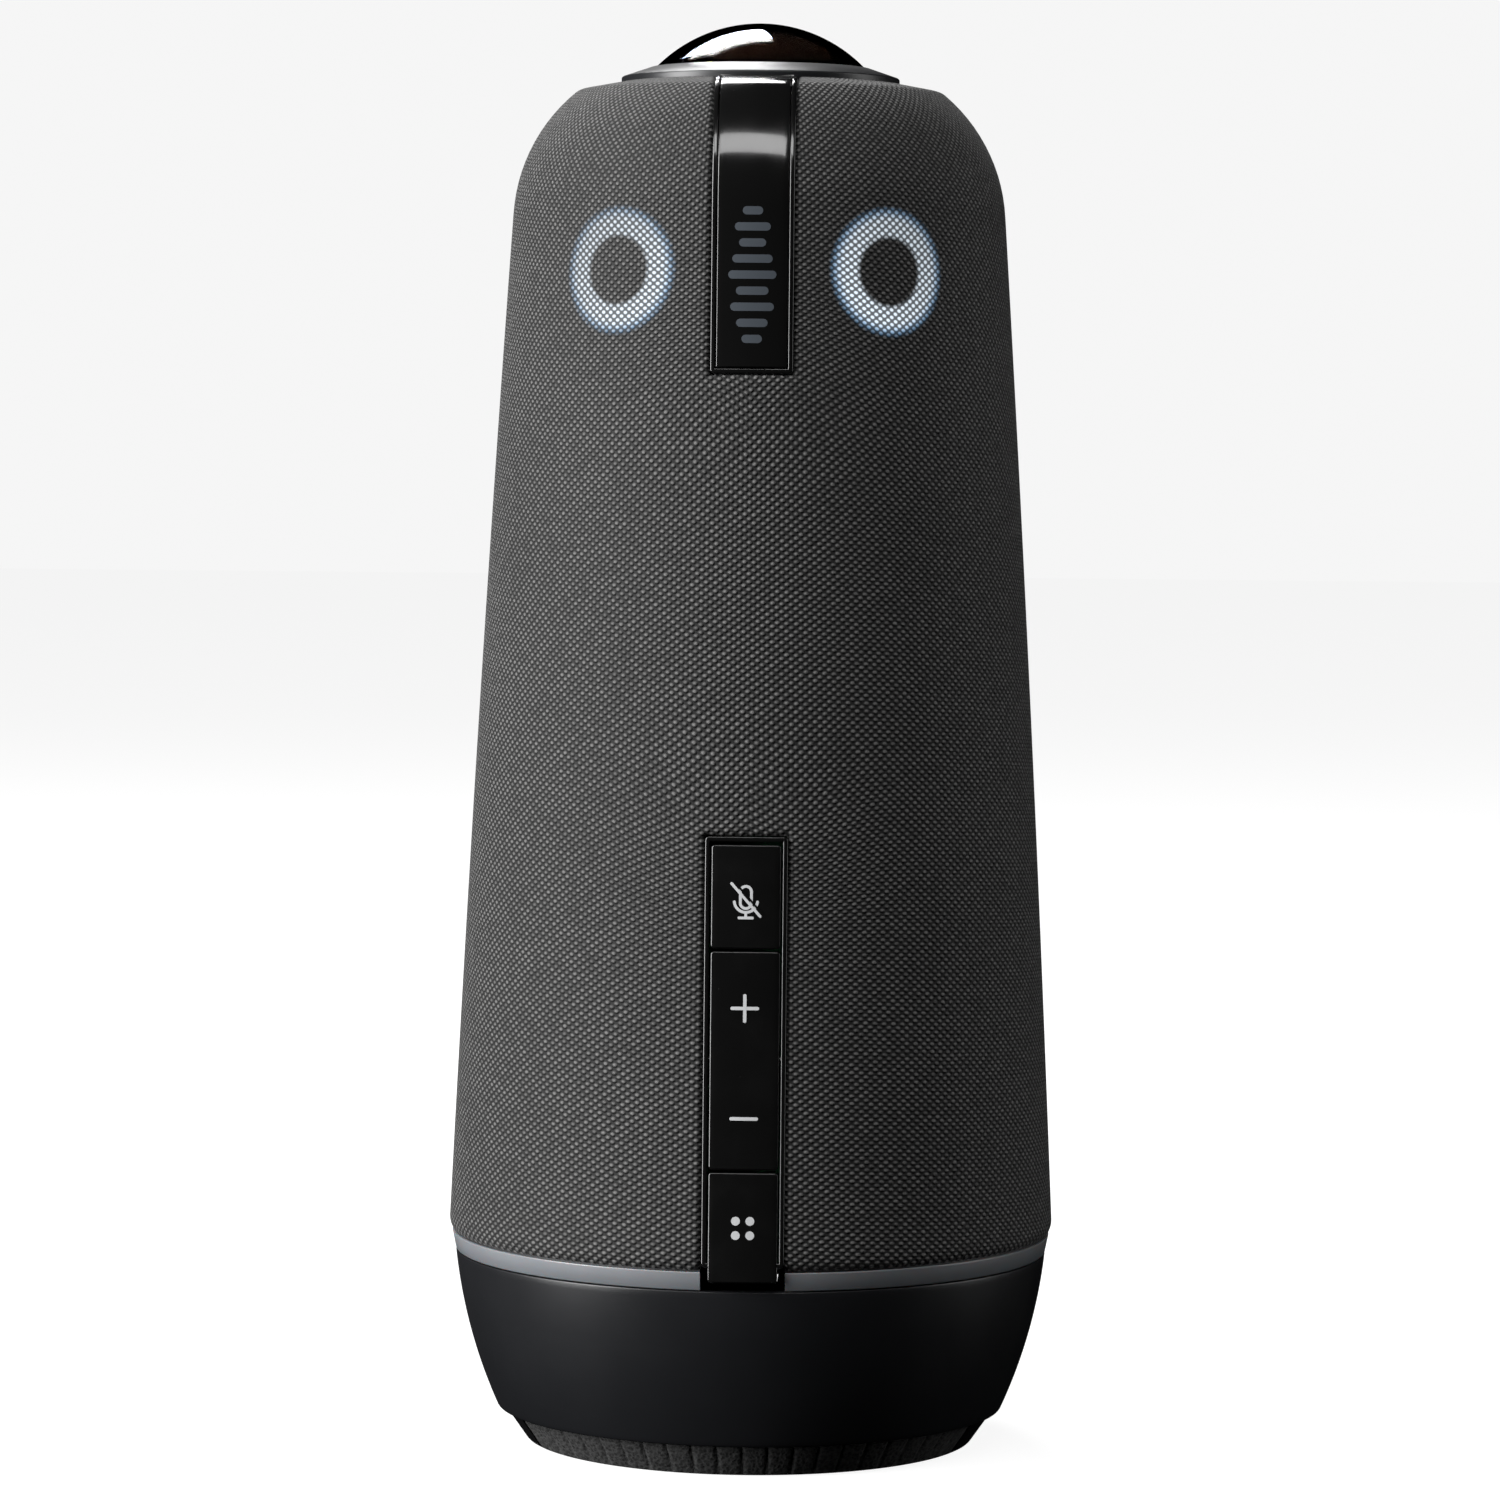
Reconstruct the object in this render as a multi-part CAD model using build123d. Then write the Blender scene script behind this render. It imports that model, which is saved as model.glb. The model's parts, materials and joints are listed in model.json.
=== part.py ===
from build123d import *
import os
from math import atan2, cos, degrees, radians, sin, sqrt

# Conference speaker and camera unit: a tapered round body on a bowl-shaped base.
# Millimetres, +Z up along the body's axis, origin on the surface it stands on, front facing -Y.
# An azimuth is counted from the front, positive towards +X.

# ---------------------------------------------------------------- overall form
OVERALL_HEIGHT = 268.0
BODY_RADIUS = 57.3  # cloth at its widest, just above the light ring
BODY_TAPER = 10.85  # how much narrower the body is where the shoulder starts
SIDE_ARC_RADIUS = 9000.0  # the sides are very slightly bulged
SHOULDER_RADIUS = 32.1
TOP_FACE_DROP = 11.4  # inner edge of the cloth's top face, below the lens's crown
TOP_FACE_WIDTH = 7.9
TOP_FACE_FALL = 1.5  # from the top face's inner edge to its outer edge

# ---------------------------------------------------------------- base
FOOT_HEIGHT = 6.0
FOOT_INSET = 10.7  # foot's top edge, inside the body's radius
FOOT_FLARE = 4.2  # foot's bottom edge, inside its top edge
FOOT_PAD_WALL = 1.8
FOOT_PAD_SOLE = 0.6
FOOT_SOLE_WIDTH = 6.0
FRONT_PAD_HALF_ANGLE = 65.0
PAD_GAP_ANGLE = 1.0
SEAM = 0.2  # shadow line between outer pieces
BASE_HEIGHT = 36.0
BASE_STEP_IN = 1.2  # base shell's top edge, inside the body's radius
BASE_BOTTOM_STEP_IN = 9.3  # base shell's bottom edge, inside the body's radius
BASE_BULGE = 1.25
BASE_WALL = 2.2
BASE_FLANGE_WIDTH = 6.0
PLATE_THICKNESS = 2.2
CHASSIS_THICKNESS = 2.4

# ---------------------------------------------------------------- light ring
RING_HEIGHT = 3.6
RING_LEAN = 0.7
RING_DEPTH = 5.6
RING_FOOT_DROP = 1.0
LED_SIZE = 2.4
LED_HEIGHT = 0.9
RING_LED_COUNT = 24

# ---------------------------------------------------------------- body shell
CLOTH = 0.9
CLOTH_GAP = 0.1
CLOTH_BULGE_HEIGHT = 2.3  # from the cloth's lower edge to its widest point
GRILLE_WALL = 2.4
INNER_GAP = 0.4  # between the grille frame and what stands inside it
CAP_FLANGE = 1.9  # cap's edge, outside its spigot
CAP_RISE = 1.95  # from the cap's edge to the lens
CAP_EDGE = 1.1  # upright edge, above the cloth
CAP_LIP = 0.6
SPIGOT_WALL = 3.8
SPIGOT_LENGTH = 18.0
NUT_WIDTH = 4.0
NUT_HEIGHT = 3.0
SLOT_WIDTH = 3.0
SLOT_HEIGHT = 11.0
SLOT_GAP = 3.0
SLOT_COLUMNS = 7
SLOT_ROWS = 3

# ---------------------------------------------------------------- camera
LENS_RADIUS = 19.7
LENS_DOME_RADIUS = 27.5
LENS_CROWN = 1.4  # thickness of the dome lens on its axis
LENS_WALL = 2.3
LENS_EDGE = 3.2
RETAINER_WALL = 0.7
RUNNING_GAP = 0.05
CAMERA_BOARD_WIDTH = 30.0
BOARD = 1.2  # thickness of the small circuit boards
SENSOR_WIDTH = 10.0
SENSOR_THICKNESS = 1.4
BARREL_STEP_DROP = 4.0  # seat of the second lens, below the dome lens
INNER_LENS_GAP = 0.4
REAR_BORE_RADIUS = 11.0
REAR_LENS_RISE = 3.5
REAR_LENS_LENGTH = 3.5
RETAINER_DROP = 0.7  # retainer's top, below the lens's rim
HOLDER_THICKNESS = 5.0
HOLDER_BORE_RADIUS = 8.0
SENSOR_BOARD_GAP = 1.0
HOLDER_POST_RADIUS = 2.0
HOLDER_POST_INSET = 2.5
CAMERA_SINK_INSET = 3.0
CAMERA_SINK_PLATE = 2.0
CAMERA_SINK_HEIGHT = 8.0
CAMERA_FIN_COUNT = 6
CAMERA_FIN = 1.6

# ---------------------------------------------------------------- front strips
STRIP_WIDTH = 15.0
STRIP_WALL = 0.9
STRIP_PROUD = 0.3
STRIP_CORNER = 0.75
KEY_SIDE_GAP = 0.3  # between a key and the frame, each side
KEY_GAP = 0.5
KEY_STRIP_LOW = 36.4
KEY_END_GAP = 0.6
ACTION_KEY_LENGTH = 19.9
VOLUME_KEY_LENGTH = 39.4
MUTE_KEY_LENGTH = 18.7
KEY_THICKNESS = 2.4
KEY_RIM = 0.6  # each side, how much wider the sliding keys are behind the frame
KEY_RIM_DEPTH = 0.6
KEY_TRAVEL = 0.4
FRAME_LIP = 2.3
FRAME_DEPTH = 4.5
FRAME_FLANGE_WIDTH = 3.2
FRAME_FLANGE = 0.9
ROCKER_PIN_RADIUS = 0.5
ROCKER_DEPTH = 3.7
ROCKER_LUG_WIDTH = 9.0
DOME_RADIUS = 3.0
DOME_SQUEEZE = 0.15  # how far a pressed key squeezes its dome
DOME_FLANGE = 0.8
DOME_ROOM = 0.3
KEY_BOARD_DEPTH = 5.6
KEY_BOARD_OVERHANG = 1.5  # each side, beyond the strip
TOP_STRIP_DROP = 66.2  # lower end of the top strip, below the lens's crown
TOP_STRIP_DEPTH = 2.2
TOP_PLATE = 1.3
TOP_PLATE_GAP = 0.15
PLATE_SUNK = 0.1  # outer plate surface, below the strip frame's

# ---------------------------------------------------------------- ring lights behind the cloth
EYE_DROP = 47.5
EYE_AZIMUTH = 31.7
EYE_OUTER_RADIUS = 11.65
EYE_INNER_RADIUS = 6.25
EYE_RING_DEPTH = 2.6
EYE_LED_COUNT = 12

# ---------------------------------------------------------------- microphones
MIC_COUNT = 8
MIC_CIRCLE_DROP = 2.2  # microphones' circle, inside the cloth's top corner
MIC_HOLE_RADIUS = 0.8
MIC_GASKET_HEIGHT = 3.6

# ---------------------------------------------------------------- speaker
DRIVER_RADIUS = 21.0
DRIVER_CENTRE_HEIGHT = 60.0  # above the light ring
DRIVER_AZIMUTHS = {"left": -60.0, "right": 60.0, "rear": 180.0}
DRIVER_FLANGE = 1.8
BASKET_INSET = 2.7  # basket, inside the driver's edge
BASKET_WALL = 1.0
BASKET_DEPTH = 13.0
MAGNET_RADIUS = 14.0
MAGNET_DEPTH = 10.0
SURROUND_WIDTH = 3.7
CONE_NECK_RADIUS = 6.9
CONE_DEPTH = 6.5
CONE_WALL = 0.6
COIL_RADIAL_GAP = 0.35
CONE_TRAVEL = 1.0
SURROUND_INSET = 2.5  # surround, inside the driver's edge
SURROUND_FLAT = 0.5
SURROUND_SKIN = 0.7
MAGNET_BACK = 2.0
SPIDER_GAP = 2.0
DUST_CAP_EDGE = 1.0  # beyond the cone's neck
DUST_CAP_RISE = 2.5
DUST_CAP_LIFT = 0.8
SURROUND_RISE = 1.6
SURROUND_GAP = 0.2
TUB_HEIGHT = 103.0
TUB_WALL = 2.5
TUB_FRONT_GAP = 1.2
LID_THICKNESS = 3.0
GASKET_THICKNESS = 1.0

# ---------------------------------------------------------------- boards and fasteners
MAIN_BOARD = 1.6
MAIN_BOARD_MARGIN = 5.0
STANDOFF = 8.0
STANDOFF_RADIUS = 3.0
HEAT_SINK_SIDE = 44.0
HEAT_SINK_HEIGHT = 16.0
FIN_COUNT = 8
SCREW_RADIUS = 1.25
SCREW_CLEARANCE = 0.25
SCREW_HEAD_RADIUS = 2.4
SCREW_HEAD_HEIGHT = 1.4
SCREW_LENGTH = 7.0
BOSS_RADIUS = 4.0
BOSS_BITE = 1.0  # how far the lid screws' bosses reach into the tub's wall
LID_SCREW_AZIMUTHS = (25, 95, 145, -25, -95, -145)
BOARD_POST_INSET = 4.0
BOARD_POST_AZIMUTHS = (60, 120, 240, 300)
TRIPOD_BORE_RADIUS = 2.6
TRIPOD_BORE_DEPTH = 8.5
TRIPOD_INSERT_RADIUS = 4.6
TRIPOD_BOSS_WALL = 3.4
TRIPOD_INSERT_FLOOR = 1.0
TRIPOD_BOSS_CAP = 2.0
CORNER_AZIMUTHS = (45, 135, 225, 315)
BASE_SCREW_INSET = 6.0
POST_INSET = 9.0
BULKHEAD_GAP = 1.0
BULKHEAD_THICKNESS = 3.0
IO_STANDOFF = 2.0
HEAT_SINK_PLATE = 3.0
CUT = 1.0  # how far a cutter runs past what it cuts

# ---------------------------------------------------------------- ports at the back of the base
BAY_WIDTH = 42.0
BAY_HEIGHT = 15.0
BAY_DEPTH = 9.0
BAY_WALL = 1.6
USB_WIDTH = 9.0
USB_HEIGHT = 3.2
USB_LENGTH = 8.0
USB_WALL = 0.3
JACK_WIDTH = 9.0
JACK_HEIGHT = 10.0
JACK_LENGTH = 13.0
JACK_BORE_RADIUS = 2.75
JACK_PIN_RADIUS = 1.0
PORT_SPACING = 18.0

# ---------------------------------------------------------------- heights and radii that follow
SHELL_LOW = FOOT_HEIGHT + SEAM
RING_LOW = BASE_HEIGHT + SEAM
RING_TOP = BASE_HEIGHT + RING_HEIGHT
CLOTH_LOW = RING_TOP + SEAM
WIDEST_Z = CLOTH_LOW + CLOTH_BULGE_HEIGHT
FOOT_TOP_RADIUS = BODY_RADIUS - FOOT_INSET
FOOT_LOW_RADIUS = FOOT_TOP_RADIUS - FOOT_FLARE
BASE_TOP_RADIUS = BODY_RADIUS - BASE_STEP_IN
BASE_LOW_RADIUS = BODY_RADIUS - BASE_BOTTOM_STEP_IN
GRILLE_OUTER = -(CLOTH + CLOTH_GAP)
GRILLE_INNER = GRILLE_OUTER - GRILLE_WALL
TOP_FACE_Z = OVERALL_HEIGHT - TOP_FACE_DROP
CAP_BORE = LENS_RADIUS + RETAINER_WALL + 2 * RUNNING_GAP
SPIGOT_RADIUS = CAP_BORE + SPIGOT_WALL
CAP_RADIUS = SPIGOT_RADIUS + CAP_FLANGE
LENS_INNER_RADIUS = LENS_RADIUS - LENS_WALL
KEY_WIDTH = STRIP_WIDTH - 2 * (STRIP_WALL + KEY_SIDE_GAP)
KEY_BOARD_WIDTH = STRIP_WIDTH + 2 * KEY_BOARD_OVERHANG
DOME_GAP = KEY_TRAVEL - DOME_SQUEEZE
BASKET_RADIUS = DRIVER_RADIUS - BASKET_INSET
SURROUND_RADIUS = DRIVER_RADIUS - SURROUND_INSET
CONE_RADIUS = SURROUND_RADIUS - SURROUND_WIDTH
TOP_EDGE = Vector(CAP_RADIUS + SEAM, TOP_FACE_Z)
TOP_CORNER = TOP_EDGE + Vector(TOP_FACE_WIDTH, -TOP_FACE_FALL)
SHOULDER_X = BODY_RADIUS - BODY_TAPER - SHOULDER_RADIUS
SHOULDER_CENTRE = Vector(
    SHOULDER_X, TOP_CORNER.Y - sqrt(SHOULDER_RADIUS**2 - (TOP_CORNER.X - SHOULDER_X) ** 2)
)
BULKHEAD_LOW = RING_TOP + BULKHEAD_GAP
BULKHEAD_TOP = BULKHEAD_LOW + BULKHEAD_THICKNESS
POST_SCREW_Z = BULKHEAD_TOP - SCREW_HEAD_HEIGHT - SEAM  # under the sunk heads
PLATE_LOW = SHELL_LOW - PLATE_THICKNESS
CHASSIS_LOW = SHELL_LOW + BASE_WALL
CHASSIS_TOP = CHASSIS_LOW + CHASSIS_THICKNESS
IO_BOARD_LOW = CHASSIS_TOP + IO_STANDOFF
IO_BOARD_TOP = IO_BOARD_LOW + MAIN_BOARD
TUB_TOP = BULKHEAD_TOP + TUB_HEIGHT
LID_LOW = TUB_TOP + GASKET_THICKNESS
LID_TOP = LID_LOW + LID_THICKNESS
MAIN_BOARD_LOW = LID_TOP + STANDOFF
MAIN_BOARD_TOP = MAIN_BOARD_LOW + MAIN_BOARD
DRIVER_Z = RING_TOP + DRIVER_CENTRE_HEIGHT
EYE_Z = OVERALL_HEIGHT - EYE_DROP
KEY_STRIP_HIGH = (
    KEY_STRIP_LOW + 2 * (STRIP_WALL + KEY_END_GAP) + 2 * KEY_GAP
    + ACTION_KEY_LENGTH + VOLUME_KEY_LENGTH + MUTE_KEY_LENGTH
)
ACTION_KEY_LOW = KEY_STRIP_LOW + STRIP_WALL + KEY_END_GAP
VOLUME_KEY_LOW = ACTION_KEY_LOW + ACTION_KEY_LENGTH + KEY_GAP
MUTE_KEY_LOW = VOLUME_KEY_LOW + VOLUME_KEY_LENGTH + KEY_GAP
TOP_STRIP_LOW = OVERALL_HEIGHT - TOP_STRIP_DROP
BIG = 2 * BODY_RADIUS


# ---------------------------------------------------------------- simple shapes
def block(x, y, z):
    """A box between the three pairs of coordinates."""
    size = [high - low for low, high in (x, y, z)]
    middle = [(high + low) / 2 for low, high in (x, y, z)]
    return Pos(*middle) * Box(*size)


def disc(radius, low, high):
    return Pos(0, 0, (low + high) / 2) * Cylinder(radius, high - low)


def ring(outer, inner, low, high):
    return disc(outer, low, high) - disc(inner, low, high)


def facing(azimuth):
    """Turns a shape built at the front to an azimuth."""
    return Rot(0, 0, azimuth)


def outward(shape, z):
    """Stands a shape built up +Z so that its +Z points out of the front, at height z."""
    return Pos(0, 0, z) * Rot(90, 0, 0) * shape


def screws(points, z, head_down=False):
    """Round-headed screws with the underside of the head at z, shank away from the head."""
    sense = 1 if head_down else -1
    shank = Pos(0, 0, sense * SCREW_LENGTH / 2) * Cylinder(SCREW_RADIUS, SCREW_LENGTH)
    head = Pos(0, 0, -sense * SCREW_HEAD_HEIGHT / 2) * Cylinder(SCREW_HEAD_RADIUS, SCREW_HEAD_HEIGHT)
    one = shank + head
    return [Pos(x, y, z) * one for x, y in points]


def holes(points, radius, low, high):
    return [Pos(x, y, 0) * disc(radius, low, high) for x, y in points]


def on_circle(radius, azimuths):
    return [(radius * sin(radians(a)), -radius * cos(radians(a))) for a in azimuths]


def group(shapes):
    """Separate solids kept side by side in one node."""
    return Compound(children=[solid for shape in shapes for solid in shape.solids()])


# ---------------------------------------------------------------- body surface
def side_arc_centre():
    """Centre of the side's arc: through the widest point, and tangent to the shoulder."""
    start = Vector(BODY_RADIUS, WIDEST_Z)
    across = SHOULDER_CENTRE - start
    far, near = SIDE_ARC_RADIUS, SIDE_ARC_RADIUS - SHOULDER_RADIUS
    along = (far**2 - near**2 + across.length**2) / (2 * across.length)
    unit = across.normalized()
    return start + unit * along + Vector(-unit.Y, unit.X) * sqrt(far**2 - along**2)


SIDE_CENTRE = side_arc_centre()
SHOULDER_UNIT = (SHOULDER_CENTRE - SIDE_CENTRE).normalized()


def surface_radius(z, offset=0.0):
    """Radius of the body's surface, moved out by offset, at height z below the top corner."""
    if z < SHOULDER_CENTRE.Y + SHOULDER_UNIT.Y * SHOULDER_RADIUS:
        return SIDE_CENTRE.X + sqrt((SIDE_ARC_RADIUS + offset) ** 2 - (z - SIDE_CENTRE.Y) ** 2)
    reach = SHOULDER_RADIUS + offset
    return SHOULDER_CENTRE.X + sqrt(reach**2 - (z - SHOULDER_CENTRE.Y) ** 2)


def top_face(offset):
    """Unit vector along the top face, its normal, and a point on it moved out by offset."""
    along = Vector(TOP_FACE_WIDTH, -TOP_FACE_FALL).normalized()
    normal = Vector(-along.Y, along.X)
    return along, normal, TOP_EDGE + normal * offset


def top_face_height(radius, offset):
    """Height of the top face, moved out by offset, at a distance from the axis."""
    along, _, point = top_face(offset)
    return point.Y + (radius - point.X) * along.Y / along.X


def corner_point(offset):
    """Where the top face meets the shoulder's arc, both moved out by offset."""
    along, normal, point = top_face(offset)
    rise = (point - SHOULDER_CENTRE).dot(normal)
    reach = SHOULDER_RADIUS + offset
    return SHOULDER_CENTRE + normal * rise + along * sqrt(reach**2 - rise**2)


def body_solid(offset, low):
    """All that lies inside the body's surface, moved out by offset, from height low up."""
    reach = SHOULDER_RADIUS + offset
    tangent = SHOULDER_CENTRE + SHOULDER_UNIT * reach
    corner = corner_point(offset)
    start = Vector(surface_radius(low, offset), low)
    side_middle_z = (low + tangent.Y) / 2
    side_middle = Vector(surface_radius(side_middle_z, offset), side_middle_z)
    to_corner = corner - SHOULDER_CENTRE
    half_angle = (atan2(SHOULDER_UNIT.Y, SHOULDER_UNIT.X) + atan2(to_corner.Y, to_corner.X)) / 2
    shoulder_middle = SHOULDER_CENTRE + Vector(cos(half_angle), sin(half_angle)) * reach
    crown = Vector(0, top_face_height(0, offset))
    outline = make_face([
        Line((0, low), start),
        ThreePointArc(start, side_middle, tangent),
        ThreePointArc(tangent, shoulder_middle, corner),
        Line(corner, crown),
        Line(crown, (0, low)),
    ])
    return revolve(Plane.XZ * outline, Axis.Z)


def base_solid(offset, low, high):
    """All that lies inside the base shell's surface, moved out by offset."""
    bottom = Vector(BASE_LOW_RADIUS, SHELL_LOW)
    top = Vector(BASE_TOP_RADIUS, BASE_HEIGHT)
    chord = top - bottom
    bulge = Vector(chord.Y, -chord.X).normalized() * BASE_BULGE
    middle = (bottom + top) * 0.5 + bulge
    arc = ThreePointArc(bottom, middle, top)
    centre = Vector(arc.arc_center.X, arc.arc_center.Y)
    reach = arc.radius + offset

    def point(z):
        return Vector(centre.X + sqrt(reach**2 - (z - centre.Y) ** 2), z)

    outline = make_face([
        Line((0, low), point(low)),
        ThreePointArc(point(low), point((low + high) / 2), point(high)),
        Line(point(high), (0, high)),
        Line((0, high), (0, low)),
    ])
    return revolve(Plane.XZ * outline, Axis.Z)


def skin(outer, inner, low):
    """The layer of the body between two offsets, from height low up."""
    return body_solid(outer, low) - body_solid(inner, low - 1)


def front_window(width, low, high, corner=0.0):
    """A prism through the front wall, as a cutter or a blank for the strips."""
    outline = Rectangle(width, high - low)
    if corner:
        outline = fillet(outline.vertices(), corner)
    prism = extrude(outline, BODY_RADIUS + STRIP_PROUD + 1)
    return outward(prism, (low + high) / 2)


# ---------------------------------------------------------------- foot and base
def foot_arc(half_angle):
    """An L-shaped foot pad round the front: conical wall outside, sole underneath."""
    wall_low = FOOT_LOW_RADIUS + FOOT_FLARE * FOOT_PAD_SOLE / FOOT_HEIGHT - FOOT_PAD_WALL
    outline = make_face(Polyline(
        (FOOT_LOW_RADIUS, 0),
        (FOOT_TOP_RADIUS, FOOT_HEIGHT),
        (FOOT_TOP_RADIUS - FOOT_PAD_WALL, FOOT_HEIGHT),
        (wall_low, FOOT_PAD_SOLE),
        (FOOT_LOW_RADIUS - FOOT_SOLE_WIDTH, FOOT_PAD_SOLE),
        (FOOT_LOW_RADIUS - FOOT_SOLE_WIDTH, 0),
        close=True,
    ))
    arc = revolve(Plane.XZ * outline, Axis.Z, 2 * half_angle)
    return Rot(0, 0, -90 - half_angle) * arc


def foot_pads():
    front = foot_arc(FRONT_PAD_HALF_ANGLE)
    return group([front, facing(180) * front])


def foot_sides():
    side = foot_arc(90 - FRONT_PAD_HALF_ANGLE - PAD_GAP_ANGLE)
    return group([facing(90) * side, facing(-90) * side])


BASE_SCREW_POINTS = on_circle(FOOT_LOW_RADIUS - FOOT_SOLE_WIDTH - BASE_SCREW_INSET, CORNER_AZIMUTHS)
POST_POINTS = on_circle(BASE_LOW_RADIUS - POST_INSET, CORNER_AZIMUTHS)


def base_plate():
    """Floor of the base, with the skirt that the foot pads grip and the tripod boss."""
    wall_low = FOOT_LOW_RADIUS + FOOT_FLARE * FOOT_PAD_SOLE / FOOT_HEIGHT - FOOT_PAD_WALL
    wall_high = FOOT_TOP_RADIUS - FOOT_PAD_WALL
    floor_inner = FOOT_LOW_RADIUS - FOOT_SOLE_WIDTH
    outline = make_face(Polyline(
        (0, PLATE_LOW),
        (floor_inner, PLATE_LOW),
        (floor_inner, FOOT_PAD_SOLE),
        (wall_low, FOOT_PAD_SOLE),
        (wall_high, FOOT_HEIGHT),
        (wall_high, SHELL_LOW),
        (0, SHELL_LOW),
        close=True,
    ))
    boss_top = PLATE_LOW + TRIPOD_BORE_DEPTH + TRIPOD_BOSS_CAP
    plate = revolve(Plane.XZ * outline, Axis.Z)
    plate += disc(TRIPOD_INSERT_RADIUS + TRIPOD_BOSS_WALL, SHELL_LOW, boss_top)
    plate -= disc(TRIPOD_INSERT_RADIUS, PLATE_LOW, PLATE_LOW + TRIPOD_BORE_DEPTH + TRIPOD_INSERT_FLOOR)
    plate -= holes(BASE_SCREW_POINTS, SCREW_RADIUS + SCREW_CLEARANCE, PLATE_LOW, SHELL_LOW)
    return plate


def tripod_insert():
    top = PLATE_LOW + TRIPOD_BORE_DEPTH + TRIPOD_INSERT_FLOOR
    bore = disc(TRIPOD_BORE_RADIUS, PLATE_LOW, PLATE_LOW + TRIPOD_BORE_DEPTH)
    return disc(TRIPOD_INSERT_RADIUS, PLATE_LOW, top) - bore


def base_screws():
    return group(screws(BASE_SCREW_POINTS, PLATE_LOW, head_down=True))


def bay_y():
    """Distance from the axis to the port bay's back wall, outer side."""
    return base_radius(CHASSIS_TOP) - BAY_DEPTH


def base_radius(z, offset=0.0):
    """Radius of the base shell's surface at height z."""
    section = base_solid(offset, z - 0.5, z + 0.5)
    return section.bounding_box().max.X


BAY_LOW = CHASSIS_TOP + SEAM
BAY_HIGH = BAY_LOW + BAY_HEIGHT
BAY_BACK = bay_y()


def bay_blank(grow):
    return block(
        (-BAY_WIDTH / 2 - grow, BAY_WIDTH / 2 + grow),
        (BAY_BACK - BAY_WALL, BIG),
        (BAY_LOW - grow / 2, BAY_HIGH + grow),
    )


def base_shell():
    """Bowl with an inward floor flange, a ledge for the light ring's board and a port window."""
    outer = base_solid(0, SHELL_LOW, BASE_HEIGHT)
    shell = outer - base_solid(-BASE_WALL, CHASSIS_LOW, BASE_HEIGHT)
    shell -= disc(BASE_LOW_RADIUS - BASE_FLANGE_WIDTH, SHELL_LOW, CHASSIS_LOW)
    ledge = ring(BIG, LEDGE_RADIUS, LED_BOARD_LOW - 2.0, LED_BOARD_LOW) & outer
    shell += ledge
    return shell - bay_blank(SEAM)


def port_panel():
    """Recessed tray at the back that the sockets look out of."""
    tray = bay_blank(0) - block(
        (-BAY_WIDTH / 2 + BAY_WALL, BAY_WIDTH / 2 - BAY_WALL),
        (BAY_BACK, BIG),
        (BAY_LOW + BAY_WALL, BAY_HIGH - BAY_WALL),
    )
    tray = tray & base_solid(-SEAM, CHASSIS_TOP, BASE_HEIGHT)
    return tray - usb_blank(SEAM) - jack_blank(SEAM)


def usb_blank(grow):
    return block(
        (-PORT_SPACING / 2 - USB_WIDTH / 2 - grow, -PORT_SPACING / 2 + USB_WIDTH / 2 + grow),
        (BAY_BACK - USB_LENGTH, BAY_BACK),
        (IO_BOARD_TOP, IO_BOARD_TOP + USB_HEIGHT + grow),
    )


def usb_socket():
    """Metal shell with a tongue inside."""
    x, z = -PORT_SPACING / 2, IO_BOARD_TOP + USB_HEIGHT / 2
    mouth = Rectangle(USB_WIDTH - 2 * USB_WALL, USB_HEIGHT - 2 * USB_WALL)
    mouth = fillet(mouth.vertices(), (USB_HEIGHT - 2 * USB_WALL) / 2 - USB_WALL / 3)
    cavity = Pos(x, BAY_BACK, z) * Rot(90, 0, 0) * extrude(mouth, USB_LENGTH - 1.5)
    tongue = block((x - 3.3, x + 3.3), (BAY_BACK - USB_LENGTH + 1, BAY_BACK - 1), (z - 0.35, z + 0.35))
    return usb_blank(0) - cavity + tongue


def jack_blank(grow):
    return block(
        (PORT_SPACING / 2 - JACK_WIDTH / 2 - grow, PORT_SPACING / 2 + JACK_WIDTH / 2 + grow),
        (BAY_BACK - JACK_LENGTH, BAY_BACK),
        (IO_BOARD_TOP, IO_BOARD_TOP + JACK_HEIGHT + grow),
    )


def power_jack():
    """Round socket with its centre pin."""
    axis = Pos(PORT_SPACING / 2, BAY_BACK, IO_BOARD_TOP + JACK_HEIGHT / 2) * Rot(90, 0, 0)
    depth = JACK_LENGTH - 3.0
    bore = axis * Pos(0, 0, depth / 2) * Cylinder(JACK_BORE_RADIUS, depth)
    pin = axis * Pos(0, 0, (depth + 1) / 2) * Cylinder(JACK_PIN_RADIUS, depth - 1)
    return jack_blank(0) - bore + pin


def io_board():
    half = BAY_WIDTH / 2
    board = block((-half, half), (TRIPOD_INSERT_RADIUS + TRIPOD_BOSS_WALL + 2.0, BAY_BACK - BAY_WALL - SEAM),
                  (IO_BOARD_LOW, IO_BOARD_TOP))
    return board


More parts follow.
